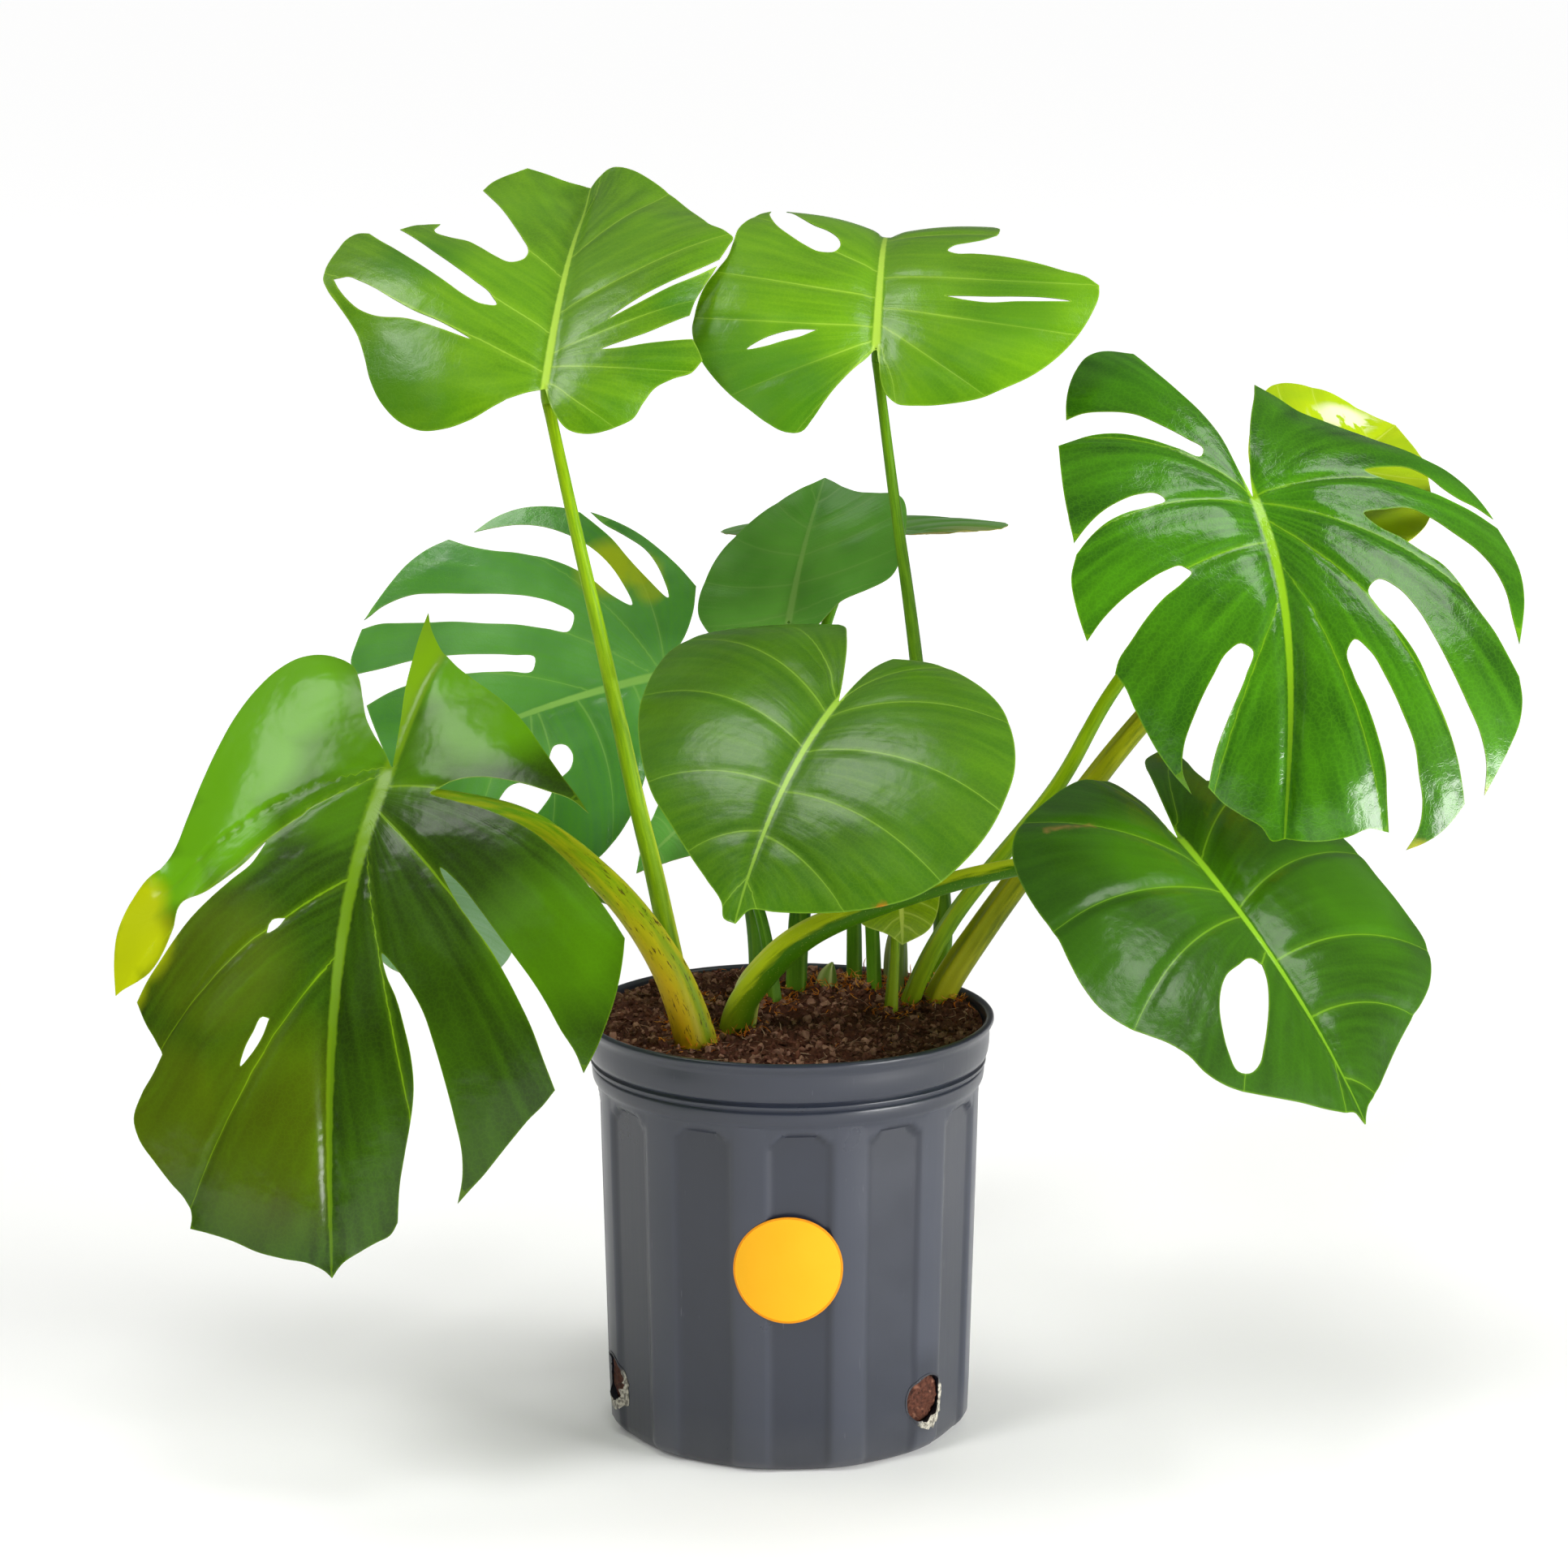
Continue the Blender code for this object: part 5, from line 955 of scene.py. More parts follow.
clearSelection()
for node, leaf in leaves.items():
    kind, own = leafLooks[node]
    colours = {**leafKinds[kind], **own, "length": leaf["length"]}
    top = leafTop("waxy_upper_side_" + node[5:], colours)
    under = leafUnder("matt_underside_" + node[5:], colours)
    print(node, makeBlade(node, leaf, colours, top, under), "faces")

# Stems


def stemPath(stem, leaf):
    _, ribPoints, _, ribAhead, ribUp = midribOf(leaf)
    x, y, _ = stem["base"]
    seat = np.array(leaf["at"]) * mm + ribAhead[0] * stem["top"] * mm - ribUp[0] * 1.0 * mm
    approach = seat - ribUp[0] * 14 * mm
    knots = [(x, y, soilLine[0]), (x, y, soilLine[1]), *stem["way"]]
    knots = np.concatenate([np.array(knots) * mm, [approach, seat]])
    places = np.linspace(1, len(knots) - 2, 20 * (len(knots) - 3) + 2)
    last = [approach + (seat - approach) * t for t in (0.2, 0.4, 0.6, 0.8, 1)]
    return np.concatenate([knots[:1], smoothRows(places, knots), last])


# What a user would change on all petioles; shares are of the stem's length
# One direction per stem decides which side is painted lighter, as painted light; sides and lean weigh that
# paint
petioleLook = dict(corners=32, knuckle=0.14, knuckleLength=16, wing=0.5, groove=0.24, wingTurn=42,
                   wingEnd=0.5, sunny=(-0.35, -0.5, 0.8), sides=0.28, lean=0.5)
soilLine = (228, 265)  # mm: the stems' feet, and where they leave the soil


def sweepPetiole(name, path, radii, wings, sunny, material):  # wings: the rise of the sheath's edges
    look = petioleLook
    path = np.asarray(path, float)
    ahead = np.gradient(path, axis=0)
    ahead /= np.linalg.norm(ahead, axis=1)[:, None]
    run = np.concatenate([[0], np.cumsum(np.linalg.norm(np.diff(path, axis=0), axis=1))])
    out = path / np.maximum(np.linalg.norm(path[:, :2], axis=1), 0.03)[:, None] * (1, 1, 0)
    inward = np.array([0, 0, 1.2]) - out  # the groove faces up and over the pot
    face = inward - ahead * (inward * ahead).sum(1)[:, None]
    face /= np.linalg.norm(face, axis=1)[:, None]
    level = np.cross(ahead, face)
    turn = np.linspace(-math.pi, math.pi, look["corners"], endpoint=False)
    toWing = np.abs(np.degrees(turn)) - look["wingTurn"]
    crest = np.exp(-(toWing / 11)**2)
    hollow = np.exp(-(np.degrees(turn) / 24)**2)
    shape = 1 + wings[:, None] * (look["wing"] * crest - look["groove"] * hollow)[None]
    around = face[:, None] * np.cos(turn)[None, :, None] + level[:, None] * np.sin(turn)[None, :, None]
    points = path[:, None] + around * (radii[:, None] * shape)[..., None]
    rings, sides = shape.shape
    k = (np.arange(rings - 1)[:, None] * sides + np.arange(sides)).ravel()
    n = (np.arange(rings - 1)[:, None] * sides + (np.arange(sides) + 1) % sides).ravel()
    faces = [list(range(sides))[::-1], [(rings - 1) * sides + s for s in range(sides)]]
    faces += np.stack([k, n, n + sides, k + sides], -1).tolist()
    ones = np.ones_like(shape)
    return newPiece(name, points.reshape(-1, 3), faces, [material], far=run[:, None] * ones,
                    turnA=np.cos(turn) * ones, turnB=np.sin(turn) * ones, wing=wings[:, None] * crest,
                    sunny=around @ (np.array(sunny) / np.linalg.norm(sunny)))


def stemSkin(name, colours):
    # Fresh petiole: smooth and a little waxy, with lengthwise streaks and fine pale
    # specks; the edges of its sheath are paler and its foot is bleached by the soil.
    # As painted light, the side that faces the lit direction is painted in the lighter
    # base colour and the far side in the deep one
    material = newMaterial(name, Roughness=0.45, IOR=1.45, Specular_IOR_Level=0.14)
    read = {key: addNode(material, "Attribute", attribute_name=key).outputs["Fac"]
            for key in ("far", "turnA", "turnB", "wing", "sunny")}
    long = addNode(material, "Math", {0: read["far"], 1: 14}, operation="MULTIPLY")
    skin = addNode(material, "CombineXYZ", {0: read["turnA"], 1: read["turnB"], 2: long})
    noise = addNode(material, "TexNoise", {"Vector": skin, "Scale": 3.2, "Detail": 3})
    # Painted light: a share that grows toward the side of the stem facing the lit direction
    litSideTone = addNode(material, "Math",
                  {0: read["sunny"], 1: colours.get("sides", petioleLook["sides"]),
                   2: colours.get("lean", petioleLook["lean"])}, operation="MULTIPLY_ADD")
    both = addNode(material, "Math", {0: noise, 1: litSideTone}, operation="ADD")
    streak = addNode(material, "MapRange", {0: both, 1: 0.82, 2: 1.22})  # painted light: the side toward the lit direction is painted yellower
    tone = addNode(material, "Mix",
                   {0: streak, 6: hexColour(colours["deep"]), 7: hexColour(colours["base"])},
                   data_type="RGBA")
    wing = addNode(material, "MapRange", {0: read["wing"], 1: 0.15, 2: 0.75, 3: 0, 4: 0.85})
    low = addNode(material, "MapRange",
                  {0: read["far"], 1: 0.03, 2: colours["footLength"] * mm, 3: 1, 4: 0})
    # Painted light: the foot's colour shows mostly on the side toward the lit direction
    litFootShare = addNode(material, "MapRange", {0: read["sunny"], 1: -0.7, 2: 0.4, 3: 0.15, 4: 0.9})
    low = addNode(material, "Math", {0: low, 1: litFootShare}, operation="MULTIPLY")
    # Pale specks about 1 mm wide, stretched along the stem
    fineLong = addNode(material, "Math", {0: read["far"], 1: 120}, operation="MULTIPLY")
    fineSkin = addNode(material, "CombineXYZ", {0: read["turnA"], 1: read["turnB"], 2: fineLong})
    specks = addNode(material, "TexVoronoi", {"Vector": fineSkin, "Scale": 5})
    speck = addNode(material, "MapRange", {0: specks, 1: 0.08, 2: 0.2, 3: 0.3, 4: 0})
    layers = [(wing, "edge"), (low, "foot"), (speck, "edge")]
    if "scar" in colours:  # brown scratches and rubbed marks near the foot
        scarred = addNode(material, "TexNoise", {"Vector": skin, "Scale": 7, "Detail": 6, "Roughness": 0.7})
        mark = addNode(material, "MapRange", {0: scarred, 1: 0.57, 2: 0.62, 3: 0, 4: 0.9})
        where = addNode(material, "MapRange", {0: read["far"], 1: 0.15, 2: 0.2, 3: 1, 4: 0})
        both = addNode(material, "Math", {0: mark, 1: where}, operation="MULTIPLY")
        layers.append((both, "scar"))
    for share, key in layers:
        tone = addNode(material, "Mix", {0: share, 6: tone, 7: hexColour(colours[key])}, data_type="RGBA")
    bump = addNode(material, "Bump", {"Strength": 0.2, "Distance": 0.0004, "Height": noise})
    setShader(material, Base_Color=tone, Normal=bump)
    return material


petioleKinds = {
    "mid": dict(base="#84a808", deep="#578404", edge="#c4cc3c", foot="#98a818", footLength=90, wings=0.5),
    "dark": dict(base="#5f8c08", deep="#386404", edge="#a4bc34", foot="#6a8a10", footLength=80, wings=0.4),
    "back": dict(base="#5a9018", deep="#2f620c", edge="#98bc50", foot="#6a9422", footLength=80, wings=0.5),
    "yellow": dict(base="#8c9404", deep="#586804", edge="#d0cc30", foot="#b8b418", footLength=90,
                   wings=0.7)}
petioleLooks = {
    "upper_left": ("mid", dict(wings=0.8, wingEnd=0.5)),
    "upper_middle": ("dark", dict(wings=0.35, wingEnd=0.3)),
    "right": ("mid", dict(wings=0.6, wingEnd=0.55)),
    # Painted light: yellow on the side toward the lit direction, dark green away from it
    "lower_right": ("mid", dict(base="#b4c418", deep="#3f6e04", edge="#dcdc70", wings=1.0, wingEnd=0.42,
                                sunny=(-0.6, 0, 0.8), sides=0.9, lean=0.2)),
    "front": ("back", {}), "back_middle": ("back", {}), "left_back": ("back", {}),
    # Painted light: the orange foot and the yellower side face the lit direction
    "front_left": ("yellow", dict(base="#98a010", deep="#5c8a08", edge="#b8a828", foot="#d09a0a",
                                  footLength=150, wings=0.8, wingEnd=0.6, scar="#3a2408",
                                  sunny=(-1, -0.2, 0))),
    "right_young": ("yellow", dict(wings=0.7, wingEnd=0.7)),
    "hidden_middle": ("back", {}), "hidden_left": ("dark", {}), "back": ("back", {}), "small": ("mid", {})}

for key, stem in stems.items():
    kind, own = petioleLooks[key]
    look = {**petioleKinds[kind], **own}
    path = stemPath(stem, leaves["leaf_" + key])
    run = np.concatenate([[0], np.cumsum(np.linalg.norm(np.diff(path, axis=0), axis=1))])
    buried = (soilLine[1] - soilLine[0]) * mm
    share = np.clip((run - buried) / (run[-1] - buried), 0, 1)
    radii = (stem["top"] + (stem["base"][2] - stem["top"]) * (1 - share)**1.3) * mm
    knuckle = np.exp(-((run - run[-1] + 0.012) / (petioleLook["knuckleLength"] * mm / 2))**2)
    radii = radii * (1 + petioleLook["knuckle"] * knuckle)
    end = look.get("wingEnd", petioleLook["wingEnd"])
    wings = look["wings"] * fade(share, end, end - 0.03) * (1 - 0.55 * share / end)
    sunny = look.get("sunny", petioleLook["sunny"])
    tube = sweepPetiole("petiole_" + key, path, radii, wings, sunny, stemSkin("fresh_petiole_" + key, look))
    finishPiece(tube, "stem", "stem_" + key)
print("petioles:", len(stems))

stubLook = {**petioleKinds["back"], "base": "#86a04a", "deep": "#5f8030", "edge": "#b8c07a",
            "foot": "#8a9050", "footLength": 60}
stubSkin = stemSkin("old_leaf_sheath", stubLook)
for node, (x, y, radius, height, lean) in sheaths.items():  # a folded stub that tapers to a thin torn top
    shares = np.linspace(0, 1, 22)
    path = [(x, y, soilLine[0])] + [(x + lean * s * s, y, soilLine[1] + (height - 8) * s) for s in shares]
    radii = np.array([radius, *(radius * (1 - 0.93 * shares**3))]) * mm
    wings = np.array([0.9, *(0.9 + 0.8 * shares)])
    # Painted light: the side of each stub toward the lit direction is painted lighter
    stub = sweepPetiole("stub_" + node, np.array(path) * mm, radii, wings, petioleLook["sunny"], stubSkin)
    finishPiece(stub, "sheath", node)
print("sheath stubs:", len(sheaths))

# Pot
# What a user would change on the pot; mm, degrees, and (radius, height, share of the
# flutes' rise) from the foot up the outside, over the rim and down the inside
potLook = dict(
    around=480, flutes=12, firstFlute=11, fluteRise=3.0, archTop=222, archDrop=5.5, seed=4, flashSeed=11,
    drainAngles=(48, 168, 288), drainHeight=37, drainRadius=15.8, drainCorners=56, ragged=0.7,
    footRadius=115, wallTop=227.6, wallRows=21,
    profile=((103.5, 0, 0), (106.5, 0.1, 0), (109.2, 1.1, 0.2), (111.4, 3.0, 0.45), (113.2, 5.8, 0.75),
             (114.2, 9.0, 1), (115.0, 30, 1), (116.1, 75, 1), (117.2, 120, 1), (118.3, 165, 1),
             (119.2, 203, 1), (119.3, 208, 1), (119.4, 211, 1), (119.45, 214, 1), (119.5, 217, 1),
             (119.55, 219.5, 1), (119.6, 222, 1), (120.0, 224.2, 0.9), (121.6, 226.0, 0.4),
             (123.8, 227.4, 0.1), (124.9, 229.4, 0), (125.3, 232, 0), (125.5, 235.2, 0), (125.2, 236.4, 0),
             (124.7, 237.0, 0), (125.0, 237.8, 0), (126.0, 238.5, 0), (126.5, 239.5, 0), (126.3, 240.5, 0),
             (125.2, 241.3, 0),
             (124.9, 242.0, 0), (125.8, 242.9, 0), (127.0, 244.0, 0), (127.9, 247.0, 0), (128.5, 251.5, 0),
             (128.7, 256, 0), (128.5, 259.6, 0), (128.7, 261.4, 0), (129.5, 263.0, 0), (130.8, 264.6, 0),
             (131.5, 266.2, 0), (131.4, 267.7, 0), (130.6, 268.7, 0), (129.4, 269.0, 0), (128.0, 268.8, 0),
             (126.9, 268.1, 0), (126.3, 267.0, 0), (125.6, 264.0, 0), (124.6, 260.8, 0), (121.6, 258.2, 0),
             (118.3, 257.0, 0), (117.9, 240, 0), (116.4, 160, 0), (114.6, 80, 0), (113.2, 30, 0),
             (112.4, 5, 0), (111.4, 3.2, 0)))


def fluteRise(angle, z=100):  # 0 in the recesses and 1 on the raised panels, which start at firstFlute
    step = 360 / potLook["flutes"]
    turn = np.mod(angle - potLook["firstFlute"], step) / step
    panel = fade(turn, 0, 0.1) * fade(turn, 0.5, 0.4)
    crowned = 1 - 0.24 * (4 * np.minimum(np.abs(turn - 0.25), np.abs(turn - 1.25)))**2
    hollow = 0.3 * (1 - np.clip(4 * np.abs(turn - 0.75), 0, 1)**2)  # the recess is a little concave
    rise = panel * crowned - (1 - panel) * hollow
    # Each recess ends at the top in a rounded arch, above which the wall is flush with the panels
    arch = potLook["archTop"] - potLook["archDrop"] * np.clip(np.abs(4 * (turn - 0.75)), 0, 1)**4
    closed = fade(z, arch - 1.8, arch + 1.0)
    return rise + (np.maximum(panel * crowned, 0.85) - rise) * closed


def readWall(z, column):  # a column of the profile at height z, on the fluted wall
    wall = potLook["profile"][:potLook["wallRows"]]
    return np.interp(z, [row[1] for row in wall], [row[column] for row in wall])


def buildPot(material):
    clearSelection()
    rows = potLook["profile"]
    bpy.ops.mesh.primitive_circle_add(vertices=potLook["around"], radius=rows[0][0] * mm,
                                      fill_type="NGON", location=(0, 0, rows[0][1] * mm))
    pot = bpy.context.object
    pot.name = "nursery_pot"
    bpy.ops.object.mode_set(mode="EDIT")
    bpy.ops.mesh.select_all(action="SELECT")
    for (radius, low, _), (nextRadius, high, _) in zip(rows, rows[1:]):
        bpy.ops.mesh.extrude_region_move(TRANSFORM_OT_translate={"value": (0, 0, (high - low) * mm)})
        bpy.ops.transform.resize(value=(nextRadius / radius, nextRadius / radius, 1),
                                 center_override=(0, 0, high * mm))
    bpy.ops.mesh.select_all(action="SELECT")
    bpy.ops.mesh.remove_doubles(threshold=0.02 * mm)
    bpy.ops.mesh.normals_make_consistent(inside=False)
    bpy.ops.object.mode_set(mode="OBJECT")
    flutePot(pot)
    rng = np.random.default_rng(potLook["seed"])
    for angle in potLook["drainAngles"]:
        cutDrain(pot, angle, rng)
    selectOnly(pot)
    bpy.ops.object.shade_smooth_by_angle(angle=math.radians(38))
    pot.data.materials.clear()
    pot.data.materials.append(material)
    finishPiece(pot, "pot_plastic", "pot")
    return pot


def flutePot(pot):  # raises the panels of the wall
    points = np.empty(len(pot.data.vertices) * 3)
    pot.data.vertices.foreach_get("co", points)
    points = points.reshape(-1, 3) + np.array(pot.location)
    radius = np.hypot(points[:, 0], points[:, 1]) / mm
    outer = radius > np.interp(points[:, 2] / mm, (0, 269), (101, 119))
    share = readWall(points[:, 2] / mm, 2) * outer
    share[(points[:, 2] > potLook["wallTop"] * mm) | (radius < readWall(points[:, 2] / mm, 0) - 0.5)] = 0
    angle = np.degrees(np.arctan2(points[:, 0], -points[:, 1]))
    flute = fluteRise(angle, points[:, 2] / mm)
    rise = potLook["fluteRise"] * share * flute
    points[:, :2] *= (1 + rise / np.maximum(radius, 1))[:, None]
    pot.location = (0, 0, 0)
    pot.data.vertices.foreach_set("co", points.ravel())
    # Painted light and shade: the pot's colour is darker deep in the recesses and lighter on the raised
    # panels by this value
    rubbedAndShaded = pot.data.attributes.new("rubbedAndShaded", "FLOAT", "POINT")  # 0 deep in a recess, 1 on the proud parts
    rubbedAndShaded.data.foreach_set("value", np.where(share > 0, np.clip(flute, 0, 1), 0.6).astype(np.float32))
    pot.data.update()


def cutDrain(pot, angle, rng):  # a roughly cut hole through the wall near the foot
    turn = math.radians(angle)
    outward = Vector((math.sin(turn), -math.cos(turn), 0))
    clearSelection()
    corners = potLook["drainCorners"]
    bpy.ops.mesh.primitive_cylinder_add(vertices=corners, radius=potLook["drainRadius"] * mm, depth=24 * mm)
    cutter = bpy.context.object
    wobble = np.cumsum(rng.normal(0, 1, corners))
    wobble = (wobble - np.linspace(0, wobble[-1], corners)) * 0.18 + rng.normal(0, 0.25, corners)
    for vertex in cutter.data.vertices:
        around = math.atan2(vertex.co.y, vertex.co.x) / (2 * math.pi) * corners
        out = potLook["ragged"] * mm * wobble[round(around) % corners]
        vertex.co.xy *= 1 + out / vertex.co.xy.length
    cutter.location = outward * 114 * mm + Vector((0, 0, potLook["drainHeight"] * mm))
    cutter.rotation_euler = outward.to_track_quat("Z", "Y").to_euler()
    cut = pot.modifiers.new("Drain", "BOOLEAN")
    cut.operation = "DIFFERENCE"
    cut.object = cutter
    selectOnly(pot)
    bpy.ops.object.modifier_apply(modifier=cut.name)
    bpy.data.objects.remove(cutter, do_unlink=True)


def potPlasticMaterial():
    # Blow-moulded polyethylene, blue black: a satin skin with a soft lustre, painted
    # lighter on the raised panels and darker in the recesses as painted light and shade,
    # with faint upright drag lines from the mould and a thin haze of dust from the potting bench
    material = newMaterial("blow_moulded_polyethylene", IOR=1.51, Specular_IOR_Level=0.62)
    place = addNode(material, "TexCoord").outputs["Object"]
    long = addNode(material, "Mapping", {"Vector": place, "Scale": (260, 260, 9)})
    drag = addNode(material, "TexNoise", {"Vector": long, "Scale": 1, "Detail": 4})
    haze = addNode(material, "TexNoise", {"Vector": place, "Scale": 22, "Detail": 5, "Roughness": 0.62})
    tone = addNode(material, "Mix", {0: haze, 6: hexColour("#1c202c"), 7: hexColour("#272c3a")},
                   data_type="RGBA")
    proud = addNode(material, "Attribute", attribute_name="rubbedAndShaded").outputs["Fac"]
    # Painted light and shade: a lighter blue grey on the raised panels, the base tone in the recesses
    proudShare = addNode(material, "MapRange", {0: proud, 1: 0.3, 2: 1, 3: 0, 4: 0.8})
    height = addNode(material, "SeparateXYZ", {0: place}).outputs[2]
    foot = addNode(material, "MapRange", {0: height, 1: 0, 2: 0.035, 3: 0.5, 4: 0})
    dust = addNode(material, "Math", {0: foot, 1: haze}, operation="MULTIPLY")
    # Scuffs about 1 mm wide and up to 10 mm long
    rubbedAndShaded = addNode(material, "Mapping",
                     {"Vector": place, "Scale": (420, 420, 60), "Rotation": (0.3, 0.2, 0)})
    scuff = addNode(material, "TexNoise", {"Vector": rubbedAndShaded, "Scale": 1, "Detail": 1})
    scuffed = addNode(material, "MapRange", {0: scuff, 1: 0.76, 2: 0.84, 3: 0, 4: 0.22})
    for share, colour in ((proudShare, "#373b48"), (dust, "#5b5a58"), (scuffed, "#7c7e84")):
        tone = addNode(material, "Mix", {0: share, 6: tone, 7: hexColour(colour)}, data_type="RGBA")
    rough = addNode(material, "MapRange", {0: haze, 1: 0.3, 2: 0.7, 3: 0.27, 4: 0.36})
    bump = addNode(material, "Bump", {"Strength": 0.12, "Distance": 0.0005, "Height": drag})
    setShader(material, Base_Color=tone, Roughness=rough, Normal=bump)
    return material


pot = buildPot(potPlasticMaterial())
print("pot:", len(pot.data.polygons), "faces")


def drainFlash(number, angle, material, rng):  # torn film around a drain hole, bleached at its lower right
    count, rings = 90, 5
    theta = np.linspace(0, 2 * math.pi, count, endpoint=False)
    knots = np.arange(0, count + 3, 3)
    wild = lambda size: np.interp(np.arange(count), knots, rng.normal(0, size, len(knots)))
    lean = np.clip(1.25 * np.cos(theta + 0.75), 0, 1)**1.3
    inner = potLook["drainRadius"] - 0.5 - np.abs(wild(0.8)) * (0.3 + 1.8 * lean)
    outer = potLook["drainRadius"] + 0.5 + 4.6 * lean * np.clip(0.6 + np.abs(wild(0.5)), 0.2, 1.5)
    points = []
    for k in range(rings):
        share = k / (rings - 1)
        radius = inner + (outer - inner) * share
        across, up = radius * np.cos(theta), radius * np.sin(theta) * 1.02
        z = np.maximum(potLook["drainHeight"] + up, 2.5)
        around = np.radians(angle) + across / potLook["footRadius"]
        torn = np.abs(rng.normal(0, 0.2, count)) * (1 - share)
        proud = 0.15 + 0.5 * math.sin(math.pi * share) * lean + torn
        fluted = potLook["fluteRise"] * fluteRise(np.degrees(around), z) * fade(z, 5, 12)
        r = readWall(z, 0) + fluted + proud
        points.append(np.stack([r * np.sin(around), -r * np.cos(around), z], -1))
    points = np.concatenate(points) * mm
    k = np.arange((rings - 1) * count)
    n = (k // count) * count + (k + 1) % count
    faces = np.stack([k, n, n + count, k + count], -1).tolist()
    flash = newPiece("drain_flash_%d" % number, points, faces, [material], False,
                     bleach=np.tile(lean, rings))
    selectOnly(flash)
    bpy.ops.object.mode_set(mode="EDIT")
    bpy.ops.mesh.select_all(action="SELECT")
    bpy.ops.mesh.normals_make_consistent(inside=False)
    bpy.ops.object.mode_set(mode="OBJECT")
    wall = flash.modifiers.new("Film", "SOLIDIFY")
    wall.thickness = 0.35 * mm
    wall.offset = 0
    bpy.ops.object.modifier_apply(modifier=wall.name)
    bpy.ops.object.shade_smooth_by_angle(angle=math.radians(50))
    finishPiece(flash, "pot_plastic")


def flashMaterial():
    # Stretched and torn polyethylene: bleached where it whitened under strain, with
    # grains of potting mix and perlite caught in it
    material = newMaterial("torn_polyethylene_film", Roughness=0.5)
    place = addNode(material, "TexCoord").outputs["Object"]
    grain = addNode(material, "TexNoise", {"Vector": place, "Scale": 420, "Detail": 3})
    share = addNode(material, "MapRange", {0: grain, 1: 0.42, 2: 0.58})
    tone = addNode(material, "Mix", {0: share, 6: hexColour("#6c675c"), 7: hexColour("#c4bfae")},
                   data_type="RGBA")
    bleach = addNode(material, "Attribute", attribute_name="bleach").outputs["Fac"]
    strained = addNode(material, "MapRange", {0: bleach, 1: 0.15, 2: 0.6})
    film = addNode(material, "Mix", {0: strained, 6: hexColour("#2a2c33"), 7: tone}, data_type="RGBA")
    bump = addNode(material, "Bump", {"Strength": 0.6, "Distance": 0.001, "Height": grain})
    setShader(material, Base_Color=film, Normal=bump)
    return material


tornFilm = flashMaterial()
flashRng = np.random.default_rng(potLook["flashSeed"])
for number, angle in enumerate(potLook["drainAngles"]):
    drainFlash(number + 1, angle, tornFilm, flashRng)
print("drain holes:", len(potLook["drainAngles"]))

# Soil
# What a user would change on the soil; mm
soilLook = dict(front=257.5, backRise=11, edgeRise=2.6, radius=124.4, rings=150, wallRings=130, around=300,
                heap=4, heapReach=15, bulge=2.5, crumbs=3300, fibres=900, threads=1000, seed=21)
feet = np.array([stem["base"] for stem in stems.values()] + [sheath[:3] for sheath in sheaths.values()],
                float)


def soilHeight(x, y):  # mm: low swells, lumps of peat, and a little heaped against each stem
    lumps = np.array([noise.multi_fractal(Vector((a * 0.09, b * 0.09, 1.7)), 0.7, 2.1, 5) for a,
                      b in zip(x, y)])
    back = soilLook["backRise"] * fade(y, -55, 75)
    swell = 1.2 * np.sin(0.031 * x + 1.3) * np.cos(0.027 * y - 0.4) + back
    gap = np.min([np.hypot(x - fx, y - fy) - radius for fx, fy, radius in feet], axis=0)
    heap = soilLook["heap"] * np.exp(-(np.maximum(gap, 0) / soilLook["heapReach"])**2)
    edge = fade(np.hypot(x, y), soilLook["radius"] - 1, soilLook["radius"] - 16)
    rim = soilLook["edgeRise"] + 0.5 * swell  # the mix climbs the flare of the wall
    return soilLook["front"] + rim * (1 - edge) + (swell + 3.4 * (lumps - 1) + heap) * edge


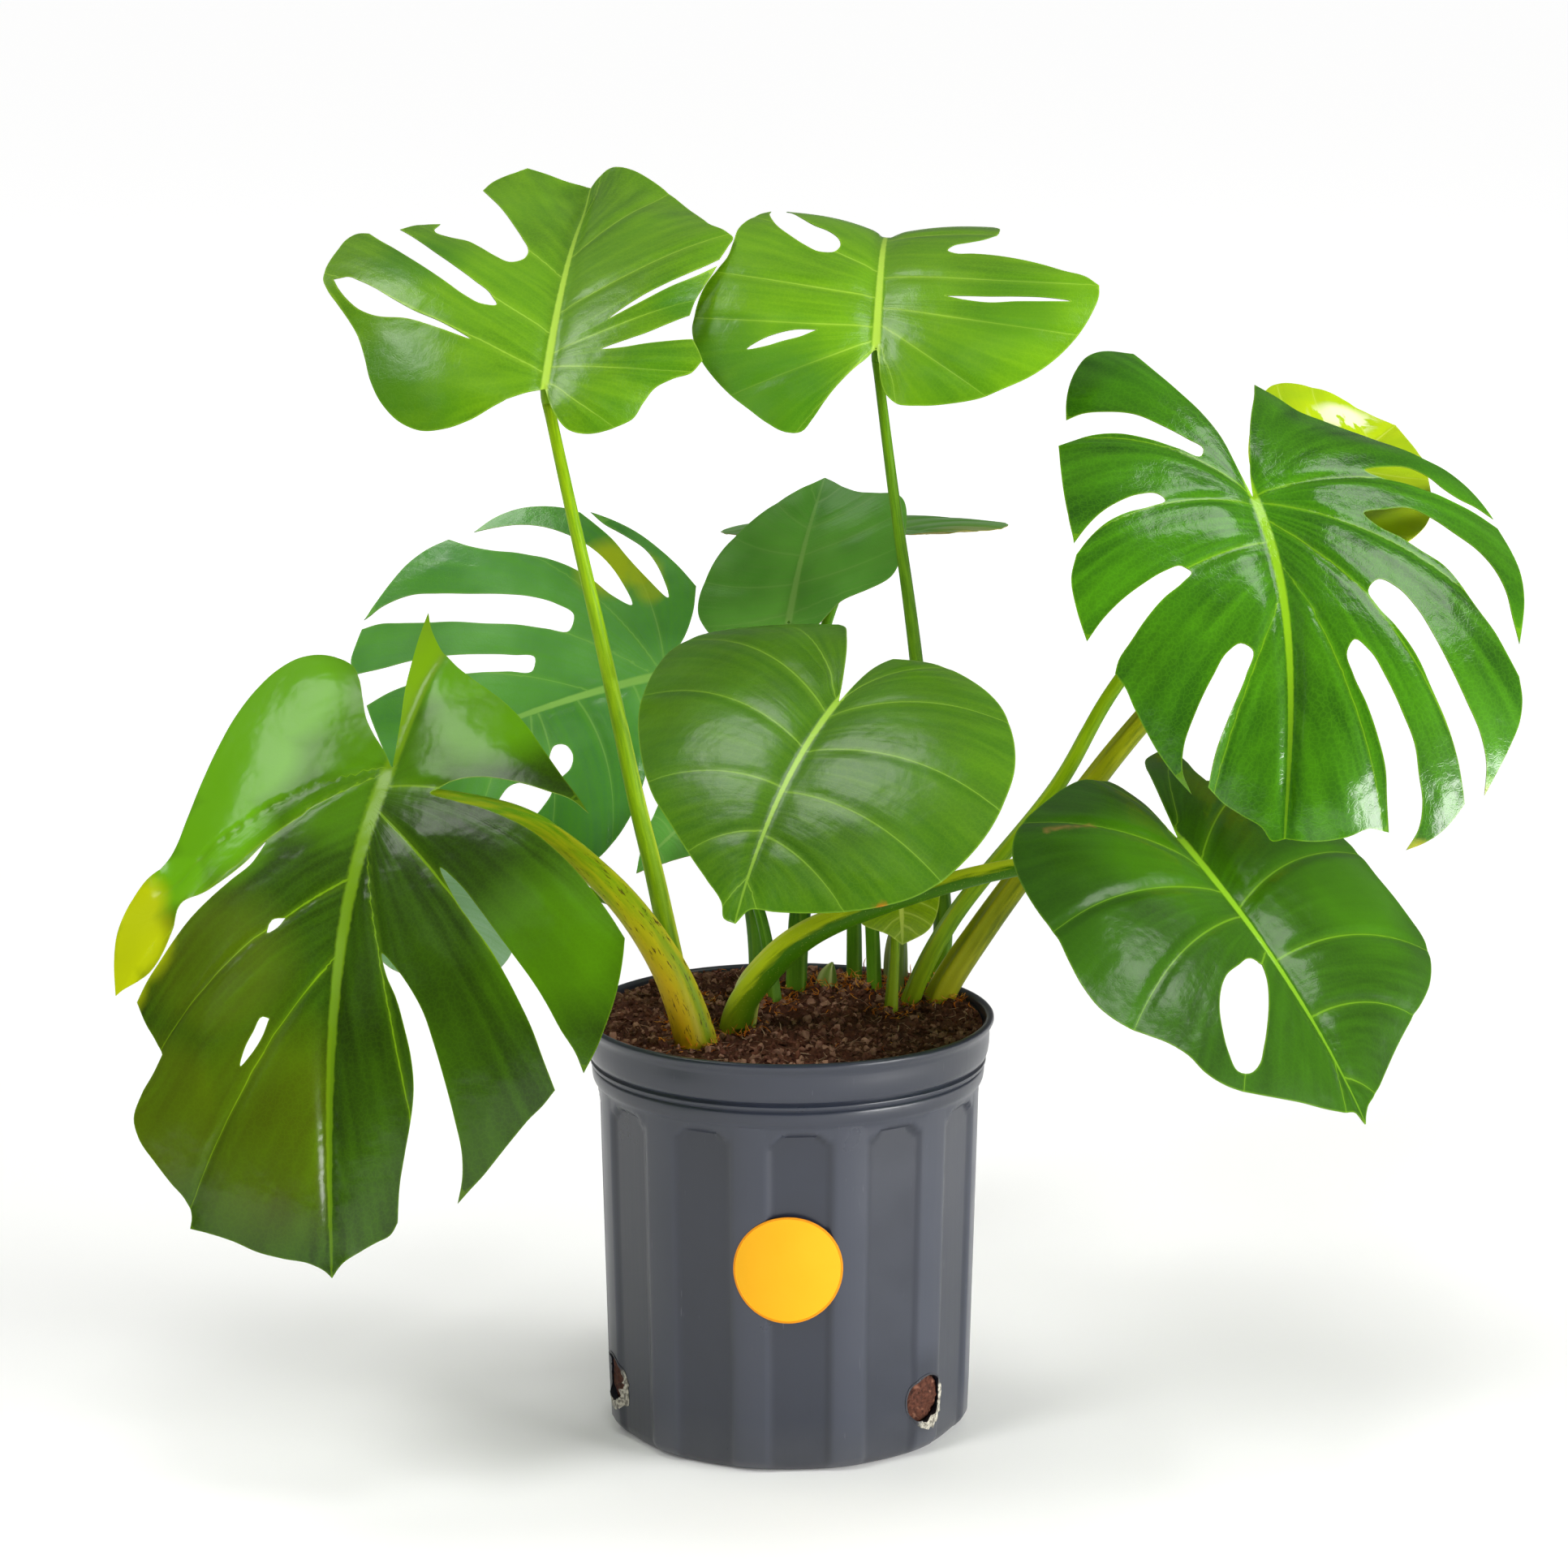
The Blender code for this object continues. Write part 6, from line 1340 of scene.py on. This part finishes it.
def buildSoil(material):
    look = soilLook
    turn = np.linspace(0, 2 * math.pi, look["around"], endpoint=False)
    share = np.linspace(1, 0, look["rings"], endpoint=False)[::-1]
    x = (share[:, None] * look["radius"] * np.sin(turn)).ravel()
    y = (-share[:, None] * look["radius"] * np.cos(turn)).ravel()
    top = np.stack([x, y, soilHeight(x, y)], -1)
    walls, lumps = [], []
    for z in np.linspace(look["front"] - 1, 4, look["wallRings"]):  # down the inside of the pot's wall
        radius = np.interp(z, (4, 30, 252, 258), (110.0, 112.2, 117.0, 119.5))
        radius = radius - 1.2 * np.abs(np.sin(9 * turn + z) * np.sin(23 * turn + 0.21 * z))
        for angle in potLook["drainAngles"]:  # the mix bulges a little in the holes
            off = np.mod(turn - math.radians(angle) + math.pi, 2 * math.pi) - math.pi
            near = np.hypot(off * 114, z - potLook["drainHeight"])
            radius = radius + look["bulge"] * fade(near, 16.6, 14.6)
        crumbled = [noise.noise((a * 60, z * 0.45, 3.0)) + noise.noise((a * 150, z * 1.1, 5.0)) / 2
                    for a in turn]
        lumps.append(crumbled)
        radius = radius + 0.8 * np.minimum(crumbled, 0)
        walls.append(np.stack([radius * np.sin(turn), -radius * np.cos(turn), np.full_like(turn, z)], -1))
    points = np.concatenate([[[0, 0, float(soilHeight(np.zeros(1), np.zeros(1))[0])]], top, *walls])
    shades = np.full(len(points), 0.35)
    shades[1 + len(top):] = np.clip(0.08 + 1.1 * np.ravel(lumps), 0, 1)  # painted light: the mix down the wall, seen in the drain holes, is painted paler in lumps against the shadow it stands in
    count, rings = look["around"], look["rings"] + len(walls)
    ring = np.arange(count)
    faces = [(0, 1 + k, 1 + (k + 1) % count) for k in range(count)]
    for i in range(rings - 1):
        a, b = 1 + i * count + ring, 1 + i * count + (ring + 1) % count
        faces += np.stack([a, a + count, b + count, b], -1).tolist()
    faces.append([1 + (rings - 1) * count + k for k in range(count)][::-1])
    soil = newPiece("potting_mix", points * mm, faces, [material], shade=shades)
    finishPiece(soil, "potting_soil", "soil")
    return soil


def scatterPlaces(count, rng, spread):  # on the soil, clear of the stems; below 1, spread favours the stems
    places = []
    while len(places) < count:
        if rng.random() < spread:
            radius, turn = (soilLook["radius"] - 3) * math.sqrt(rng.random()), rng.random() * 2 * math.pi
            x, y = radius * math.cos(turn), radius * math.sin(turn)
        else:
            fx, fy, foot = feet[rng.integers(len(feet))]
            radius, turn = foot + abs(rng.normal(0, 6)), rng.random() * 2 * math.pi
            x, y = fx + radius * math.cos(turn), fy + radius * math.sin(turn)
        clear = np.hypot(feet[:, 0] - x, feet[:, 1] - y) > feet[:, 2] + 0.5
        if clear.all() and math.hypot(x, y) < soilLook["radius"] - 3:
            places.append((x, y))
    return np.array(places)


def crumbShape():  # one lump of bark, modelled once: a block with broken edges
    clearSelection()
    bpy.ops.mesh.primitive_cube_add(size=1.6)
    lump = bpy.context.object
    bpy.ops.object.mode_set(mode="EDIT")
    bpy.ops.mesh.select_all(action="SELECT")
    bpy.ops.mesh.bevel(offset=0.42, segments=1, affect="EDGES")
    bpy.ops.transform.resize(value=(1.1, 0.8, 0.6))
    bpy.ops.object.mode_set(mode="OBJECT")
    mesh = bmesh.new()
    mesh.from_mesh(lump.data)
    bmesh.ops.triangulate(mesh, faces=mesh.faces)
    points = np.array([v.co[:] for v in mesh.verts])
    faces = np.array([[v.index for v in face.verts] for face in mesh.faces])
    mesh.free()
    bpy.data.objects.remove(lump, do_unlink=True)
    return points, faces


def turned(points, rng):  # points turned at random about all axes
    quaternion = rng.normal(size=4)
    w, x, y, z = quaternion / np.linalg.norm(quaternion)
    matrix = np.array([[1 - 2 * (y * y + z * z), 2 * (x * y - w * z), 2 * (x * z + w * y)],
                       [2 * (x * y + w * z), 1 - 2 * (x * x + z * z), 2 * (y * z - w * x)],
                       [2 * (x * z - w * y), 2 * (y * z + w * x), 1 - 2 * (x * x + y * y)]])
    return points @ matrix.T


def joinCopies(name, parts, material, smooth):
    points, faces, shades, first = [], [], [], 0
    for piece, corners, shade in parts:
        points.append(piece)
        faces += (corners + first).tolist()
        first += len(piece)
        shades += [shade] * len(piece)
    piece = newPiece(name, np.concatenate(points) * mm, faces, [material], smooth, shade=shades)
    finishPiece(piece, "potting_soil")


def buildCrumbs(material, rng):
    points, faces = crumbShape()
    places = scatterPlaces(soilLook["crumbs"], rng, 0.86)
    heights = soilHeight(*places.T)
    parts = []
    for (x, y), z in zip(places, heights):
        size = rng.uniform(0.8, 1.8) if rng.random() < 0.72 else rng.uniform(1.8, 3.3)
        lump = points * size * rng.uniform(0.7, 1.3, (1, 3)) + rng.normal(0, 0.16, points.shape) * size
        parts.append((turned(lump, rng) + (x, y, z + size * 0.3), faces, rng.random()))
    joinCopies("bark_crumbs", parts, material, False)


def buildFibres(name, count, length, thick, curl, rise, lift, spread, material, rng):
    sides, steps = 4, 7  # each fibre is a bent sliver
    places = scatterPlaces(count, rng, spread)
    heights = soilHeight(*places.T)
    k = np.arange((steps - 1) * sides)
    n = (k // sides) * sides + (k + 1) % sides
    faces = np.stack([k, n, n + sides, k + sides], -1)
    parts = []
    for (x, y), z in zip(places, heights):
        heading, tilt = rng.uniform(0, 2 * math.pi), rng.normal(0, rise)
        long = rng.uniform(*length) / (steps - 1)
        bends = rng.normal(0, curl, (steps, 2)).cumsum(0)
        headings, tilts = heading + bends[:, 0], np.clip(tilt + 0.6 * bends[:, 1], -0.5, 0.9)
        ahead = np.stack([np.cos(tilts) * np.cos(headings), np.cos(tilts) * np.sin(headings),
                          np.sin(tilts)], -1)
        path = (x, y, z + lift) + np.concatenate([[[0, 0, 0]], (ahead[1:] * long).cumsum(0)])
        path[:, 2] = np.maximum(path[:, 2], z - 1)
        radius = rng.uniform(*thick) * np.array([0.3, 0.8, 1, 1, 0.9, 0.7, 0.25])
        side = np.stack([-np.sin(headings), np.cos(headings), np.zeros(steps)], -1)
        up = np.cross(ahead, side)
        ring = [path + radius[:, None] * (side * math.cos(a) + up * math.sin(a) * 0.6)
                for a in (0, math.pi / 2, math.pi, 3 * math.pi / 2)]
        limit = soilLook["radius"] - 1
        sliver = np.stack(ring, 1).reshape(-1, 3)
        reach = np.hypot(sliver[:, 0], sliver[:, 1])
        sliver[:, :2] *= np.minimum(1, limit / reach)[:, None]
        parts.append((sliver, faces, rng.random()))
    joinCopies(name, parts, material, True)


def soilMaterial(name, dark, mid, light, scale):
    # Moist peat and bark: very dark in its gaps, with rough brown and reddish fibres
    material = newMaterial(name, Roughness=0.9, Specular_IOR_Level=0.25)
    place = addNode(material, "TexCoord").outputs["Object"]
    grain = addNode(material, "TexNoise", {"Vector": place, "Scale": scale, "Detail": 6, "Roughness": 0.68})
    lump = addNode(material, "TexNoise", {"Vector": place, "Scale": scale / 5, "Detail": 3})
    tone = addNode(material, "MapRange", {0: grain, 1: 0.35, 2: 0.68})
    low = addNode(material, "Mix", {0: tone, 6: hexColour(dark), 7: hexColour(mid)}, data_type="RGBA")
    # The shade value pales the mix: a random tone for each crumb and fibre, and painted light on the wall in
    # the drain holes
    shade = addNode(material, "Attribute", attribute_name="shade").outputs["Fac"]
    pale = addNode(material, "Math", {0: lump, 1: shade}, operation="MULTIPLY")
    share = addNode(material, "MapRange", {0: pale, 1: 0.18, 2: 0.55})
    mixed = addNode(material, "Mix", {0: share, 6: low, 7: hexColour(light)}, data_type="RGBA")
    bump = addNode(material, "Bump", {"Strength": 0.8, "Distance": 0.0015, "Height": grain})
    setShader(material, Base_Color=mixed, Normal=bump)
    return material


soilRng = np.random.default_rng(soilLook["seed"])
soil = buildSoil(soilMaterial("moist_peat", "#2e1913", "#683e2e", "#986a54", 330))
buildCrumbs(soilMaterial("composted_bark", "#42261c", "#80503e", "#b68a74", 260), soilRng)
buildFibres("coir_fibres", soilLook["fibres"], (4, 13), (0.2, 0.42), 0.22, 0.12, 0.8, 0.9,
            soilMaterial("coir_fibre", "#5f4030", "#94705a", "#c8a68a", 200), soilRng)
buildFibres("orange_threads", soilLook["threads"], (3, 9), (0.26, 0.46), 0.5, 0.35, 2.6, 0.02,
            soilMaterial("rusty_moss_thread", "#a85010", "#ec861c", "#ffbc58", 300), soilRng)
print("soil:", len(soil.data.polygons), "faces and", soilLook["crumbs"], "crumbs")

# Label
# What a user would change on the label; mm. Its border stands "press" proud of its face
labelLook = dict(radius=34.5, height=135, border=1.3, press=0.18, thick=0.4, proud=0.25, rings=13)


def buildLabel(paper, border):
    look = labelLook
    clearSelection()
    bpy.ops.mesh.primitive_circle_add(vertices=128, radius=look["radius"] * mm, fill_type="NGON")
    label = bpy.context.object
    label.name = "round_label"
    bpy.ops.object.mode_set(mode="EDIT")
    bpy.ops.mesh.select_all(action="SELECT")
    bpy.ops.mesh.inset(thickness=look["border"] * mm)  # the border, then rings that let the disc bend
    step = (look["radius"] - look["border"]) / look["rings"]
    bpy.ops.mesh.inset(thickness=look["press"] * mm)
    for _ in range(look["rings"] - 1):
        bpy.ops.mesh.inset(thickness=step * mm)
    bpy.ops.mesh.poke()
    bpy.ops.object.mode_set(mode="OBJECT")
    label.data.materials.append(paper)
    label.data.materials.append(border)
    face = look["radius"] - look["border"]
    for polygon in label.data.polygons:
        polygon.material_index = int(polygon.center.xy.length / mm > face + 0.1 * look["border"])
    for vertex in label.data.vertices:  # laid over the flutes, so it bridges their recesses
        pressed = look["press"] if vertex.co.xy.length / mm >= face - 0.01 else 0
        across, high = vertex.co.x / mm, look["height"] + vertex.co.y / mm
        radius = float(readWall(high, 0)) + potLook["fluteRise"] + look["proud"] + pressed
        vertex.co = Vector((radius * math.sin(across / radius), -radius * math.cos(across / radius),
                            high)) * mm
    label.data.update()
    selectOnly(label)
    wall = label.modifiers.new("Paper", "SOLIDIFY")
    wall.thickness = look["thick"] * mm
    wall.offset = -1
    bpy.ops.object.modifier_apply(modifier=wall.name)
    bpy.ops.object.shade_smooth_by_angle(angle=math.radians(35))
    finishPiece(label, "label_paper", "label")
    return label


def labelMaterial(name, colour, tint):
    # Coated label paper: even print with a faint fibre tooth and a soft satin varnish
    material = newMaterial(name, Roughness=0.5, Specular_IOR_Level=0.2)
    place = addNode(material, "TexCoord").outputs["Object"]
    tooth = addNode(material, "TexNoise", {"Vector": place, "Scale": 900, "Detail": 2})
    cloud = addNode(material, "TexNoise", {"Vector": place, "Scale": 40, "Detail": 2})
    tone = addNode(material, "Mix", {0: cloud, 6: hexColour(colour), 7: hexColour(tint)}, data_type="RGBA")
    bump = addNode(material, "Bump", {"Strength": 0.15, "Distance": 0.0002, "Height": tooth})
    setShader(material, Base_Color=tone, Normal=bump)
    return material


label = buildLabel(labelMaterial("varnished_label_paper", "#eeaa10", "#f2b21a"),
                   labelMaterial("pressed_label_border", "#d98708", "#dd8e0c"))
print("label:", len(label.data.polygons), "faces")

# Stage, light and camera
stageLook = dict(radius=60, nearGlow=0.1, farGlow=0.86, nearEdge=0.6, farEdge=5.0, world=0.13, horizon=0.98)
clearSelection()
bpy.ops.mesh.primitive_circle_add(vertices=64, radius=stageLook["radius"], fill_type="NGON")
floor = bpy.context.object
floor.name = "floor"
# Pale paper floor that glows a little more with distance, so that it stays near white
paper = newMaterial("pale_studio_paper", Base_Color=hexColour("#f4f4f2"), Roughness=0.9,
                    Specular_IOR_Level=0.1)
away = addNode(paper, "VectorMath", {0: addNode(paper, "TexCoord").outputs["Object"]}, operation="LENGTH")
glow = addNode(paper, "MapRange",
               {0: away, 1: stageLook["nearEdge"], 2: stageLook["farEdge"], 3: stageLook["nearGlow"],
                4: stageLook["farGlow"]}, interpolation_type="SMOOTHSTEP")
setShader(paper, Emission_Strength=glow, Emission_Color=(1, 1, 1, 1))
floor.data.materials.append(paper)

lamps = {  # direction from the plant, distance in m, width and height, watts, leaves a sheen
    "keyLeft": ((-0.55, -0.55, 0.75), 4.4, (1.2, 1.2), 70, False),
    "skyLeft": ((-0.46, 0.16, 0.87), 4.2, (1.9, 1.5), 46, True),
    "skyRight": ((0.58, -0.02, 0.81), 4.2, (1.7, 1.5), 36, True),
    "topFront": ((0.0, -0.40, 1.0), 4.2, (1.1, 1.1), 36, False),
    "windowRight": ((1.0, -0.42, 0.42), 4.4, (2.2, 2.0), 72, False),
    "lowRight": ((0.86, -0.50, 0.05), 3.2, (1.8, 1.0), 96, True),
    "skyBack": ((0.05, 0.55, 1.0), 4.0, (1.5, 1.2), 20, False)}
aim = Vector((0, 0, 0.45))
for name, (way, distance, size, power, sheen) in lamps.items():
    light = bpy.data.lights.new(name, "AREA")
    light.shape = "RECTANGLE"
    light.size, light.size_y = size
    light.energy = power
    lamp = bpy.data.objects.new(name, light)
    lamp.location = aim + Vector(way).normalized() * distance
    lamp.rotation_euler = (-Vector(way)).to_track_quat("-Z", "Y").to_euler()
    lamp.visible_camera = False
    lamp.visible_glossy = sheen
    bpy.context.scene.collection.objects.link(lamp)
world = bpy.data.worlds.new("studio")
bpy.context.scene.world = world
world.use_nodes = True
background = world.node_tree.nodes["Background"].inputs
background["Color"].default_value = (1, 1, 1, 1)
# A dim room, as bright as the far floor just over the horizon
skyward = addNode(world, "SeparateXYZ", {0: addNode(world, "TexCoord").outputs["Generated"]})
room = addNode(world, "MapRange",
               {0: skyward.outputs["Z"], 1: 0.03, 2: 0.09, 3: stageLook["horizon"], 4: stageLook["world"]},
               interpolation_type="SMOOTHSTEP")
giveInput(world, background["Strength"], room)

camera = bpy.data.cameras.new("camera")
camera.lens = 100
camera.sensor_width = 36
cameraObject = bpy.data.objects.new("camera", camera)
cameraObject.location = (-0.0026, -2.6975, 0.966)
cameraObject.rotation_euler = (math.radians(78.5), 0, 0)
bpy.context.scene.collection.objects.link(cameraObject)
bpy.context.scene.camera = cameraObject
bpy.context.scene.view_settings.view_transform = "Standard"
print("stage: floor, lamps and camera")

bpy.context.view_layer.update()
